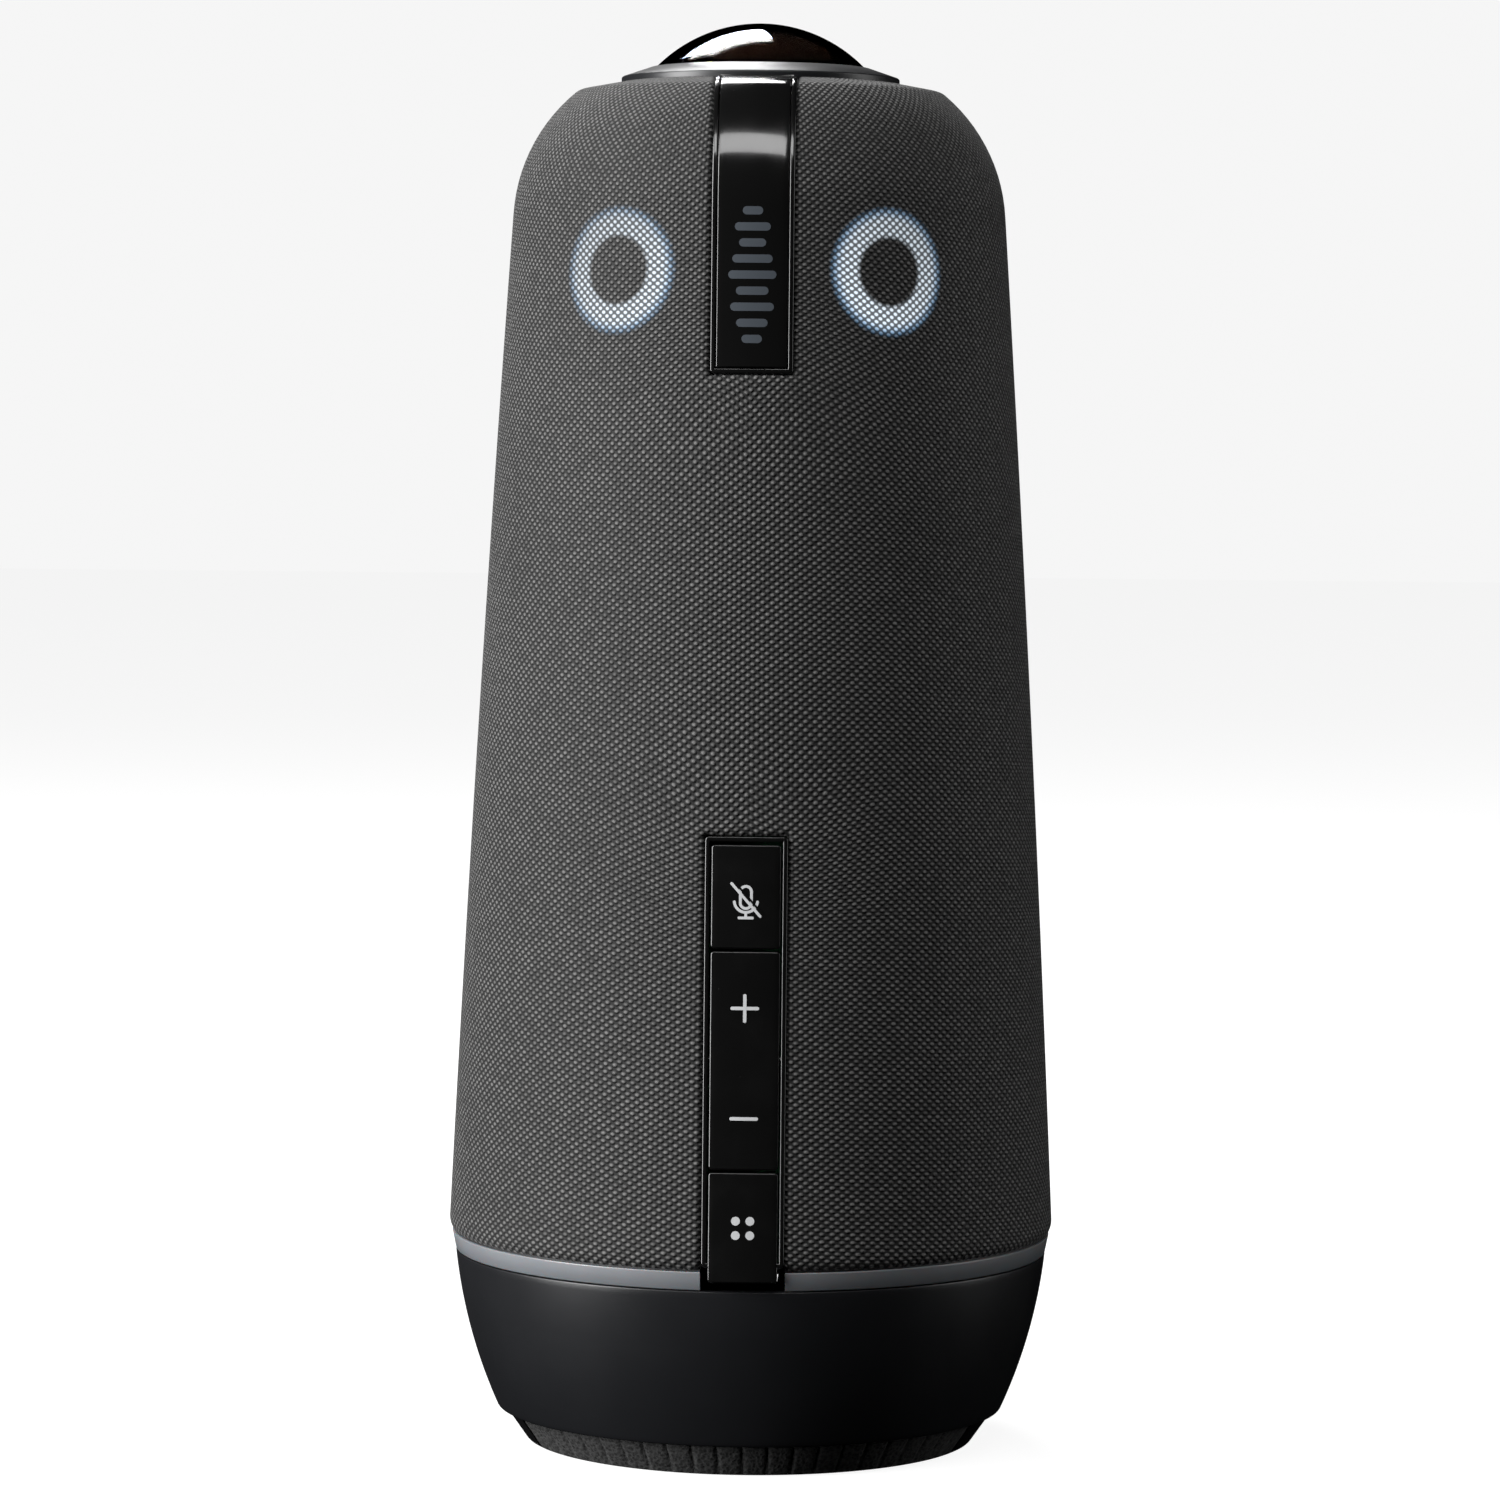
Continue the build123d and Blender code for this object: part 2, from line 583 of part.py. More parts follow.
def base_chassis():
    """Inner frame: clamps the base shell to the base plate and carries the bulkhead on posts."""
    frame = disc(base_radius(CHASSIS_LOW, -BASE_WALL) - INNER_GAP, CHASSIS_LOW, CHASSIS_TOP)
    frame += holes(BASE_SCREW_POINTS, BOSS_RADIUS, SHELL_LOW, CHASSIS_LOW)
    frame += holes(POST_POINTS, BOSS_RADIUS, CHASSIS_TOP, BULKHEAD_LOW)
    for x in (-BAY_WIDTH / 2 + 4, BAY_WIDTH / 2 - 4):
        for y in (TRIPOD_INSERT_RADIUS + TRIPOD_BOSS_WALL + 6.0, BAY_BACK - BAY_WALL - 4.0):
            frame += Pos(x, y, 0) * disc(STANDOFF_RADIUS, CHASSIS_TOP, IO_BOARD_LOW)
    frame -= disc(TRIPOD_INSERT_RADIUS + TRIPOD_BOSS_WALL + SEAM, CHASSIS_LOW, CHASSIS_TOP)
    frame -= holes(BASE_SCREW_POINTS, SCREW_RADIUS, PLATE_LOW, PLATE_LOW + SCREW_LENGTH)
    frame -= holes(POST_POINTS, SCREW_RADIUS, POST_SCREW_Z - SCREW_LENGTH, BULKHEAD_LOW)
    return frame


# ---------------------------------------------------------------- light ring
LED_BOARD_TOP = BASE_HEIGHT - RING_FOOT_DROP - LED_HEIGHT - SEAM
LED_BOARD_LOW = LED_BOARD_TOP - BOARD
BOARD_OUTER = BASE_TOP_RADIUS - BASE_WALL - 1.0
BOARD_INNER = BOARD_OUTER - RING_DEPTH
LEDGE_RADIUS = BOARD_OUTER - 2.0


def led_block(radius, z):
    """One LED on the front side of a circle, its underside at z."""
    half = LED_SIZE / 2
    return block((-half, half), (-radius - half, -radius + half), (z, z + LED_HEIGHT))


def ring_led_board():
    return ring(BOARD_OUTER, BOARD_INNER, LED_BOARD_LOW, LED_BOARD_TOP)


def ring_leds():
    radius = (BOARD_OUTER + BOARD_INNER) / 2
    led = led_block(radius, LED_BOARD_TOP)
    return [facing((n + 0.5) * 360 / RING_LED_COUNT) * led for n in range(RING_LED_COUNT)]


def light_ring():
    """Frosted diffuser, open at the front where the key strip passes."""
    head_radius = BASE_TOP_RADIUS
    inner = head_radius - RING_DEPTH
    foot = BOARD_OUTER
    outline = make_face(Polyline(
        (inner, BASE_HEIGHT - RING_FOOT_DROP),
        (foot, BASE_HEIGHT - RING_FOOT_DROP),
        (foot, BASE_HEIGHT),
        (head_radius - 2 * RING_LEAN, BASE_HEIGHT),
        (head_radius - 2 * RING_LEAN, RING_LOW),
        (head_radius, RING_LOW),
        (head_radius + RING_LEAN, RING_TOP),
        (inner, RING_TOP),
        close=True,
    ))
    whole = revolve(Plane.XZ * outline, Axis.Z)
    return whole - front_window(STRIP_WIDTH + 2 * SEAM, BASE_HEIGHT - 2, RING_TOP + 1)


# ---------------------------------------------------------------- body shell
def fabric_sleeve():
    """Cloth pulled over the grille frame, with openings for the two front strips."""
    sleeve = skin(0, -CLOTH, CLOTH_LOW) - disc(CAP_RADIUS + SEAM, CLOTH_LOW, OVERALL_HEIGHT)
    sleeve -= front_window(STRIP_WIDTH + 2 * SEAM, CLOTH_LOW - 1, KEY_STRIP_HIGH + SEAM, STRIP_CORNER)
    sleeve -= front_window(STRIP_WIDTH + 2 * SEAM, TOP_STRIP_LOW - SEAM, OVERALL_HEIGHT, STRIP_CORNER)
    return sleeve


def speaker_slots():
    """Tall slots in the grille frame in front of each driver."""
    pitch_angle = degrees((SLOT_WIDTH + SLOT_GAP) / surface_radius(DRIVER_Z))
    cutters = []
    for azimuth in DRIVER_AZIMUTHS.values():
        for column in range(SLOT_COLUMNS):
            angle = azimuth + (column - (SLOT_COLUMNS - 1) / 2) * pitch_angle
            for row in range(SLOT_ROWS):
                z = DRIVER_Z + (row - (SLOT_ROWS - 1) / 2) * (SLOT_HEIGHT + SLOT_GAP)
                cutter = block(
                    (-SLOT_WIDTH / 2, SLOT_WIDTH / 2),
                    (-BODY_RADIUS - 1, -BODY_RADIUS / 2),
                    (z - SLOT_HEIGHT / 2, z + SLOT_HEIGHT / 2),
                )
                cutters.append(facing(angle) * cutter)
    return cutters


def mic_points():
    radius = corner_point(GRILLE_INNER).X - MIC_CIRCLE_DROP
    return on_circle(radius, [(n + 0.5) * 360 / MIC_COUNT for n in range(MIC_COUNT)])


def grille_frame():
    """Perforated shell under the cloth, with windows for keys and ring lights."""
    frame = skin(GRILLE_OUTER, GRILLE_INNER, RING_TOP + CLOTH_GAP)
    frame -= disc(SPIGOT_RADIUS + INNER_GAP, RING_TOP, OVERALL_HEIGHT)
    frame -= front_window(STRIP_WIDTH + 2 * SEAM, RING_TOP - 1, KEY_STRIP_HIGH + SEAM)
    recess = front_window(STRIP_WIDTH + 2 * SEAM, TOP_STRIP_LOW - SEAM, OVERALL_HEIGHT)
    frame -= recess - body_solid(-TOP_STRIP_DEPTH - CLOTH_GAP, TOP_STRIP_LOW - 5)
    eye = outward(Pos(0, 0, BODY_RADIUS / 2) * extrude(Circle(EYE_OUTER_RADIUS + SEAM), BODY_RADIUS), EYE_Z)
    frame -= [facing(EYE_AZIMUTH) * eye, facing(-EYE_AZIMUTH) * eye]
    frame -= speaker_slots()
    frame -= holes(mic_points(), MIC_HOLE_RADIUS, EYE_Z + EYE_OUTER_RADIUS, OVERALL_HEIGHT)
    return frame


def lower_bulkhead():
    """Floor of the body: stands on the chassis posts and carries the speaker enclosure."""
    plate = disc(surface_radius(BULKHEAD_TOP, GRILLE_INNER) - INNER_GAP, BULKHEAD_LOW, BULKHEAD_TOP)
    plate -= holes(POST_POINTS, SCREW_RADIUS + SCREW_CLEARANCE, BULKHEAD_LOW, BULKHEAD_TOP)
    plate -= holes(POST_POINTS, SCREW_HEAD_RADIUS + SCREW_CLEARANCE, POST_SCREW_Z, BULKHEAD_TOP)
    plate -= front_window(KEY_BOARD_WIDTH + 6.0, BULKHEAD_LOW, BULKHEAD_TOP) & front_zone()
    plate -= disc(8.0, BULKHEAD_LOW, BULKHEAD_TOP)
    return plate


def front_zone():
    """Space behind the front wall that is kept for the key strip."""
    return block((-BIG, BIG), (-BIG, -key_zone_y()), (0, OVERALL_HEIGHT))


def key_zone_y():
    """Distance from the axis to the back of the key strip's space."""
    return surface_radius(KEY_STRIP_HIGH) - KEY_BOARD_DEPTH - BOARD - TUB_FRONT_GAP


# ---------------------------------------------------------------- speaker enclosure
TUB_RADIUS = surface_radius(LID_TOP, GRILLE_INNER) - INNER_GAP
DRIVER_FACE = sqrt(TUB_RADIUS**2 - (DRIVER_RADIUS + 1.0) ** 2)  # axis to the drivers' seats


def enclosure_blank(radius, inset, low, high):
    """Cylinder with a flat for each driver and one for the key strip, all moved in by inset."""
    blank = disc(radius - inset, low, high)
    for azimuth in DRIVER_AZIMUTHS.values():
        blank -= facing(azimuth) * block((-BIG, BIG), (-BIG, -DRIVER_FACE + inset), (low, high))
    return blank - block((-BIG, BIG), (-BIG, -key_zone_y() + inset), (low, high))


LID_SCREW_POINTS = on_circle(TUB_RADIUS - TUB_WALL - BOSS_RADIUS + BOSS_BITE, LID_SCREW_AZIMUTHS)
DRIVER_SCREW_RADIUS = 0.8
DRIVER_SCREW_HEAD_RADIUS = 1.2
DRIVER_SCREW_CIRCLE = DRIVER_RADIUS - DRIVER_SCREW_HEAD_RADIUS


def enclosure_tub():
    tub = enclosure_blank(TUB_RADIUS, 0, BULKHEAD_TOP, TUB_TOP)
    tub -= enclosure_blank(TUB_RADIUS, TUB_WALL, BULKHEAD_TOP + TUB_WALL, TUB_TOP)
    corner = enclosure_blank(TUB_RADIUS, TUB_WALL / 2, TUB_TOP - 2 * SCREW_LENGTH, TUB_TOP)
    for boss in holes(LID_SCREW_POINTS, BOSS_RADIUS, TUB_TOP - 2 * SCREW_LENGTH, TUB_TOP):
        tub += boss & corner
    tub -= holes(LID_SCREW_POINTS, SCREW_RADIUS, LID_TOP - SCREW_LENGTH, TUB_TOP)
    opening = outward(extrude(Circle(BASKET_RADIUS + SEAM), BODY_RADIUS), DRIVER_Z)
    tub -= [facing(azimuth) * opening for azimuth in DRIVER_AZIMUTHS.values()]
    return tub


def enclosure_gasket():
    seal = enclosure_blank(TUB_RADIUS, 0, TUB_TOP, LID_LOW)
    seal -= enclosure_blank(TUB_RADIUS, TUB_WALL, TUB_TOP, LID_LOW)
    return seal - holes(LID_SCREW_POINTS, BOSS_RADIUS, TUB_TOP, LID_LOW)


BOARD_POST_POINTS = on_circle(TUB_RADIUS - BOSS_RADIUS - MAIN_BOARD_MARGIN - BOARD_POST_INSET, BOARD_POST_AZIMUTHS)


def enclosure_lid():
    lid = enclosure_blank(TUB_RADIUS, 0, LID_LOW, LID_TOP)
    lid -= holes(LID_SCREW_POINTS, SCREW_RADIUS + SCREW_CLEARANCE, LID_LOW, LID_TOP)
    lid += holes(BOARD_POST_POINTS, STANDOFF_RADIUS, LID_TOP, MAIN_BOARD_LOW)
    return lid - holes(BOARD_POST_POINTS, SCREW_RADIUS, LID_TOP + 1, MAIN_BOARD_LOW)


def each_driver(shape):
    return {name: facing(azimuth) * outward(shape, DRIVER_Z) for name, azimuth in DRIVER_AZIMUTHS.items()}


def driver_frame():
    """Flanged basket, built up +Z along the driver's axis; zero is the body's axis."""
    seat = DRIVER_FACE
    frame = ring(DRIVER_RADIUS, SURROUND_RADIUS, seat, seat + DRIVER_FLANGE)
    frame += ring(DRIVER_RADIUS, BASKET_RADIUS - BASKET_WALL, seat, seat + DRIVER_FLANGE / 3)
    frame += ring(BASKET_RADIUS, BASKET_RADIUS - BASKET_WALL, seat - BASKET_DEPTH, seat)
    floor = seat - BASKET_DEPTH
    frame += ring(BASKET_RADIUS, CONE_NECK_RADIUS + SPIDER_GAP, floor - BASKET_WALL, floor)
    points = on_circle(DRIVER_SCREW_CIRCLE, CORNER_AZIMUTHS)
    return frame - holes(points, DRIVER_SCREW_RADIUS, seat, seat + DRIVER_FLANGE)


def driver_frames():
    return group(each_driver(driver_frame()).values())


def driver_magnets():
    """Magnet pot with its centre pole; the voice coil runs in the gap between them."""
    back = DRIVER_FACE - BASKET_DEPTH - BASKET_WALL
    pot = disc(MAGNET_RADIUS, back - MAGNET_DEPTH, back)
    gap_outer = CONE_NECK_RADIUS + COIL_RADIAL_GAP
    gap_inner = CONE_NECK_RADIUS - CONE_WALL - COIL_RADIAL_GAP
    pot -= ring(gap_outer, gap_inner, back - MAGNET_DEPTH + MAGNET_BACK, back)
    return group(each_driver(pot).values())


def driver_cone():
    """Cone, voice coil former and dust cap, which move as one."""
    rim = DRIVER_FACE + DRIVER_FLANGE / 3 + SURROUND_GAP
    neck = rim - CONE_DEPTH
    coil_low = DRIVER_FACE - BASKET_DEPTH - BASKET_WALL - MAGNET_DEPTH + MAGNET_BACK + 2 * CONE_TRAVEL
    cap_edge = CONE_NECK_RADIUS + DUST_CAP_EDGE
    cap_rise = DUST_CAP_RISE
    cap_low = neck + CONE_WALL
    outline = make_face([
        *Polyline(
            (0, cap_low + cap_rise - CONE_WALL),
            (0, cap_low + cap_rise),
        ).edges(),
        ThreePointArc(
            (0, cap_low + cap_rise),
            (cap_edge * 0.55, cap_low + cap_rise * 0.8),
            (cap_edge, cap_low + DUST_CAP_LIFT),
        ),
        *Polyline(
            (cap_edge, cap_low + DUST_CAP_LIFT),
            (CONE_RADIUS, rim),
            (CONE_RADIUS, rim - CONE_WALL),
            (CONE_NECK_RADIUS, neck),
            (CONE_NECK_RADIUS, coil_low),
            (CONE_NECK_RADIUS - CONE_WALL, coil_low),
            (CONE_NECK_RADIUS - CONE_WALL, cap_low + cap_rise - 2 * CONE_WALL),
            (0, cap_low + cap_rise - CONE_WALL),
        ).edges(),
    ])
    return revolve(Plane.XZ * outline, Axis.Z)


def driver_surround():
    """Half-roll of rubber between the cone's rim and the basket."""
    seat = DRIVER_FACE + DRIVER_FLANGE / 3
    inner, outer = CONE_RADIUS + SURROUND_GAP, SURROUND_RADIUS
    middle, radius = (inner + outer) / 2, (outer - inner) / 2
    flat = SURROUND_FLAT
    outline = make_face([
        Line((inner, seat), (outer, seat)),
        Line((outer, seat), (outer, seat + flat)),
        ThreePointArc((outer, seat + flat), (middle, seat + flat + SURROUND_RISE), (inner, seat + flat)),
        Line((inner, seat + flat), (inner, seat)),
    ])
    hollow_radius = radius - SURROUND_SKIN
    hollow = make_face([
        Line((middle - hollow_radius, seat), (middle + hollow_radius, seat)),
        ThreePointArc((middle + hollow_radius, seat), (middle, seat + SURROUND_RISE - 0.3),
                      (middle - hollow_radius, seat)),
    ])
    return revolve(Plane.XZ * (outline - hollow), Axis.Z)


def driver_screws():
    seat = DRIVER_FACE + DRIVER_FLANGE
    shank = disc(DRIVER_SCREW_RADIUS, seat - DRIVER_FLANGE, seat)
    head = disc(DRIVER_SCREW_HEAD_RADIUS, seat, seat + 0.8)
    points = on_circle(DRIVER_SCREW_CIRCLE, CORNER_AZIMUTHS)
    each = [Pos(x, y, 0) * (shank + head) for x, y in points]
    return group([shape for one in each for shape in each_driver(one).values()])


# ---------------------------------------------------------------- main board
def main_board():
    board = disc(TUB_RADIUS - MAIN_BOARD_MARGIN, MAIN_BOARD_LOW, MAIN_BOARD_TOP)
    board -= holes(BOARD_POST_POINTS, SCREW_RADIUS + SCREW_CLEARANCE, MAIN_BOARD_LOW, MAIN_BOARD_TOP)
    return board


def heat_sink():
    """Finned block on the processor."""
    half = HEAT_SINK_SIDE / 2
    sink = block((-half, half), (-half, half), (MAIN_BOARD_TOP, MAIN_BOARD_TOP + HEAT_SINK_PLATE))
    pitch = HEAT_SINK_SIDE / FIN_COUNT
    for n in range(FIN_COUNT):
        x = -half + (n + 0.5) * pitch
        sink += block((x - pitch / 4, x + pitch / 4), (-half, half),
                      (MAIN_BOARD_TOP + HEAT_SINK_PLATE, MAIN_BOARD_TOP + HEAT_SINK_HEIGHT))
    return sink


def shield_cans():
    low, high = MAIN_BOARD_LOW - 3.0, MAIN_BOARD_LOW
    return group([block((-20, -2), (-12, 12), (low, high)), block((2, 20), (-14, 6), (low, high))])


# ---------------------------------------------------------------- camera and cap
LENS_TOP = OVERALL_HEIGHT
DOME_CENTRE_Z = LENS_TOP - LENS_DOME_RADIUS
LENS_RIM_Z = DOME_CENTRE_Z + sqrt(LENS_DOME_RADIUS**2 - LENS_RADIUS**2)
LENS_LOW = LENS_RIM_Z - LENS_EDGE
BARREL_STEP = LENS_LOW - BARREL_STEP_DROP
HOLLOW_RISE = LENS_TOP - LENS_CROWN - LENS_RIM_Z
HOLLOW_RADIUS = (LENS_INNER_RADIUS**2 + HOLLOW_RISE**2) / (2 * HOLLOW_RISE)
HOLLOW_CENTRE_Z = LENS_TOP - LENS_CROWN - HOLLOW_RADIUS
CAP_LOW = TOP_FACE_Z - CAP_LIP
HOLDER_TOP = CAP_LOW - SPIGOT_LENGTH
HOLDER_LOW = HOLDER_TOP - HOLDER_THICKNESS
SENSOR_BOARD_TOP = HOLDER_LOW - SENSOR_BOARD_GAP
SENSOR_BOARD_LOW = SENSOR_BOARD_TOP - BOARD
CAMERA_SCREW_POINTS = on_circle((CAP_BORE + SPIGOT_RADIUS) / 2, (0, 120, 240))


def top_cap():
    """Shallow conical bezel with a spigot that the camera hangs from."""
    outline = make_face(Polyline(
        (SPIGOT_RADIUS, top_face_height(SPIGOT_RADIUS, GRILLE_OUTER + CLOTH_GAP)),
        (CAP_RADIUS, top_face_height(CAP_RADIUS, GRILLE_OUTER + CLOTH_GAP)),
        (CAP_RADIUS, TOP_FACE_Z + CAP_EDGE),
        (CAP_BORE, TOP_FACE_Z + CAP_EDGE + CAP_RISE),
        (CAP_BORE, HOLDER_TOP),
        (SPIGOT_RADIUS, HOLDER_TOP),
        close=True,
    ))
    cap = revolve(Plane.XZ * outline, Axis.Z)
    return cap - holes(CAMERA_SCREW_POINTS, SCREW_RADIUS, HOLDER_TOP, HOLDER_LOW + SCREW_LENGTH)


def cap_nut():
    """Threaded ring that draws the cap down onto the grille frame."""
    outer = SPIGOT_RADIUS + NUT_WIDTH
    high = top_face_height(outer, GRILLE_INNER) - 2 * SEAM
    return ring(outer, SPIGOT_RADIUS, high - NUT_HEIGHT, high)


def lens_dome():
    """Meniscus glass with a short cylindrical edge."""
    outside = Pos(0, 0, DOME_CENTRE_Z) * Sphere(LENS_DOME_RADIUS)
    body = (outside & disc(LENS_RADIUS, LENS_LOW, LENS_TOP + 1))
    hollow = Pos(0, 0, HOLLOW_CENTRE_Z) * Sphere(HOLLOW_RADIUS)
    hollow = hollow & disc(LENS_INNER_RADIUS, LENS_RIM_Z, LENS_TOP)
    return body - hollow - disc(LENS_INNER_RADIUS, LENS_LOW, LENS_RIM_Z)


def lens_retainer():
    """Thin threaded ring between the lens and the cap."""
    inner = LENS_RADIUS + RUNNING_GAP
    return ring(inner + RETAINER_WALL, inner, LENS_LOW, LENS_RIM_Z - RETAINER_DROP)


def lens_barrel():
    """Stepped tube that the inner lenses sit in."""
    outer = CAP_BORE - RUNNING_GAP
    barrel = disc(outer, HOLDER_TOP, LENS_LOW) - disc(LENS_INNER_RADIUS, BARREL_STEP, LENS_LOW)
    return barrel - disc(REAR_BORE_RADIUS, HOLDER_TOP, BARREL_STEP)


def inner_lenses():
    """Second dome element on the barrel's step, and the rear group in its narrow bore."""
    front = Pos(0, 0, HOLLOW_CENTRE_Z) * Sphere(HOLLOW_RADIUS - INNER_LENS_GAP)
    second = front & disc(LENS_INNER_RADIUS - INNER_LENS_GAP, BARREL_STEP, LENS_TOP)
    rear_low = HOLDER_TOP + REAR_LENS_RISE
    rear = disc(REAR_BORE_RADIUS, rear_low, rear_low + REAR_LENS_LENGTH)
    return group([second, rear])


def camera_holder():
    """Plate under the spigot that closes the lens barrel and carries the sensor board."""
    holder = disc(SPIGOT_RADIUS, HOLDER_LOW, HOLDER_TOP) - disc(HOLDER_BORE_RADIUS, HOLDER_LOW, HOLDER_TOP)
    holder -= holes(CAMERA_SCREW_POINTS, SCREW_RADIUS + SCREW_CLEARANCE, HOLDER_LOW, HOLDER_TOP)
    half = CAMERA_BOARD_WIDTH / 2 - HOLDER_POST_INSET
    corners = [(x, y) for x in (-half, half) for y in (-half, half)]
    return holder + holes(corners, HOLDER_POST_RADIUS, SENSOR_BOARD_TOP, HOLDER_LOW)


def image_sensor():
    half = SENSOR_WIDTH / 2
    return block((-half, half), (-half, half), (SENSOR_BOARD_TOP, SENSOR_BOARD_TOP + SENSOR_THICKNESS))


def sensor_board():
    half = CAMERA_BOARD_WIDTH / 2
    return block((-half, half), (-half, half), (SENSOR_BOARD_LOW, SENSOR_BOARD_TOP))


def camera_heat_sink():
    """Finned plate behind the image sensor."""
    half = CAMERA_BOARD_WIDTH / 2 - CAMERA_SINK_INSET
    plate_low = SENSOR_BOARD_LOW - CAMERA_SINK_PLATE
    sink = block((-half, half), (-half, half), (plate_low, SENSOR_BOARD_LOW))
    pitch = 2 * half / CAMERA_FIN_COUNT
    for n in range(CAMERA_FIN_COUNT):
        x = -half + (n + 0.5) * pitch
        sink += block((x - CAMERA_FIN / 2, x + CAMERA_FIN / 2), (-half, half),
                      (SENSOR_BOARD_LOW - CAMERA_SINK_HEIGHT, plate_low))
    return sink


def case_screws():
    return group(
        screws(POST_POINTS, POST_SCREW_Z)
        + screws(LID_SCREW_POINTS, LID_TOP)
        + screws(BOARD_POST_POINTS, MAIN_BOARD_TOP)
        + screws(CAMERA_SCREW_POINTS, HOLDER_LOW, head_down=True)
    )


# ---------------------------------------------------------------- microphones
MIC_GASKET_TOP = corner_point(GRILLE_INNER).Y - SEAM
MIC_BOARD_TOP = MIC_GASKET_TOP - MIC_GASKET_HEIGHT
MIC_BOARD_LOW = MIC_BOARD_TOP - BOARD
MIC_GASKET_OUTER = corner_point(GRILLE_INNER).X - SEAM
MIC_RING_INNER = SPIGOT_RADIUS + NUT_WIDTH + SEAM


def mic_board():
    board = ring(MIC_GASKET_OUTER, MIC_RING_INNER, MIC_BOARD_LOW, MIC_BOARD_TOP)
    return board - holes(mic_points(), MIC_HOLE_RADIUS, MIC_BOARD_LOW, MIC_BOARD_TOP)


def microphones():
    body = block((-1.5, 1.5), (-1.9, 1.9), (MIC_BOARD_LOW - 1.0, MIC_BOARD_LOW))
    return group([Pos(x, y, 0) * body for x, y in mic_points()])


def mic_gasket():
    seal = ring(MIC_GASKET_OUTER, MIC_RING_INNER, MIC_BOARD_TOP, MIC_GASKET_TOP)
    return seal - holes(mic_points(), MIC_HOLE_RADIUS, MIC_BOARD_TOP, MIC_GASKET_TOP)


# ---------------------------------------------------------------- ring lights behind the cloth
EYE_FACE = sqrt(surface_radius(EYE_Z + EYE_OUTER_RADIUS, -CLOTH - CLOTH_GAP) ** 2 - EYE_OUTER_RADIUS**2)
EYE_BACK = EYE_FACE - EYE_RING_DEPTH


def both_eyes(shape):
    one = outward(shape, EYE_Z)
    return [facing(EYE_AZIMUTH) * one, facing(-EYE_AZIMUTH) * one]


def eye_rings():
    face = EYE_FACE - CLOTH_GAP
    return group(both_eyes(ring(EYE_OUTER_RADIUS, EYE_INNER_RADIUS, EYE_BACK, face)))


def eye_leds():
    led = led_block((EYE_OUTER_RADIUS + EYE_INNER_RADIUS) / 2, EYE_BACK - LED_HEIGHT)
    turned = [Rot(0, 0, n * 360 / EYE_LED_COUNT) * led for n in range(EYE_LED_COUNT)]
    return [shape for one in turned for shape in both_eyes(one)]


def white_leds():
    """The same part on the light ring's board and behind the two ring lights."""
    return group(ring_leds() + eye_leds())


def eye_boards():
    high = EYE_BACK - LED_HEIGHT
    return group(both_eyes(disc(EYE_OUTER_RADIUS, high - BOARD, high)))


# ---------------------------------------------------------------- front strips
def layer(blank, outer, inner, low):
    """What a blank and the body share between two offsets of the surface."""
    return (blank & body_solid(outer, low - 1)) - body_solid(inner, low - 2)


def key_solid(low, length, width=KEY_WIDTH, outer=STRIP_PROUD, inner=STRIP_PROUD - KEY_THICKNESS):
    """A stretch of the lower strip between two offsets of the body's surface."""
    return layer(front_window(width, low, low + length), outer, inner, KEY_STRIP_LOW)


def sliding_key(low, length):
    """Push key: cap, a wider rim that stops behind the frame's lip, and a plunger."""
    rim_out = -FRAME_LIP - RUNNING_GAP
    cap = key_solid(low, length, inner=rim_out)
    rim = key_solid(low, length, KEY_WIDTH + 2 * KEY_RIM, rim_out, rim_out - KEY_RIM_DEPTH)
    return cap + rim


def key_place(z):
    """Place on the plane that touches the front wall behind the keys, +Z out, Y up the strip."""
    low, high = KEY_STRIP_LOW, KEY_STRIP_HIGH
    middle = (low + high) / 2
    lean = atan2(surface_radius(low) - surface_radius(high), high - low)
    origin = Pos(0, -surface_radius(middle), middle) * Rot(90 - degrees(lean), 0, 0)
    return origin * Pos(0, (z - middle) / cos(lean), 0)


ROCKER_Z = VOLUME_KEY_LOW + VOLUME_KEY_LENGTH / 2
ROCKER_SPREAD = VOLUME_KEY_LENGTH / 4 + 0.1


def action_key():
    return sliding_key(ACTION_KEY_LOW, ACTION_KEY_LENGTH)


def mute_key():
    return sliding_key(MUTE_KEY_LOW, MUTE_KEY_LENGTH)


def volume_key():
    """Rocker: cap and a lug bored for its pin."""
    cap = key_solid(VOLUME_KEY_LOW, VOLUME_KEY_LENGTH)
    reach = ROCKER_DEPTH + 2 * ROCKER_PIN_RADIUS
    lug = Box(ROCKER_LUG_WIDTH, 5 * ROCKER_PIN_RADIUS, reach - 1.0)
    lug = key_place(ROCKER_Z) * Pos(0, 0, -(reach + 1.0) / 2) * lug
    bore = Rot(0, 90, 0) * Cylinder(ROCKER_PIN_RADIUS + RUNNING_GAP, BIG)
    return cap + lug - key_place(ROCKER_Z) * Pos(0, 0, -ROCKER_DEPTH) * bore


def rocker_pin():
    pin = Rot(0, 90, 0) * Cylinder(ROCKER_PIN_RADIUS, STRIP_WIDTH - 0.1)
    return key_place(ROCKER_Z) * Pos(0, 0, -ROCKER_DEPTH) * pin


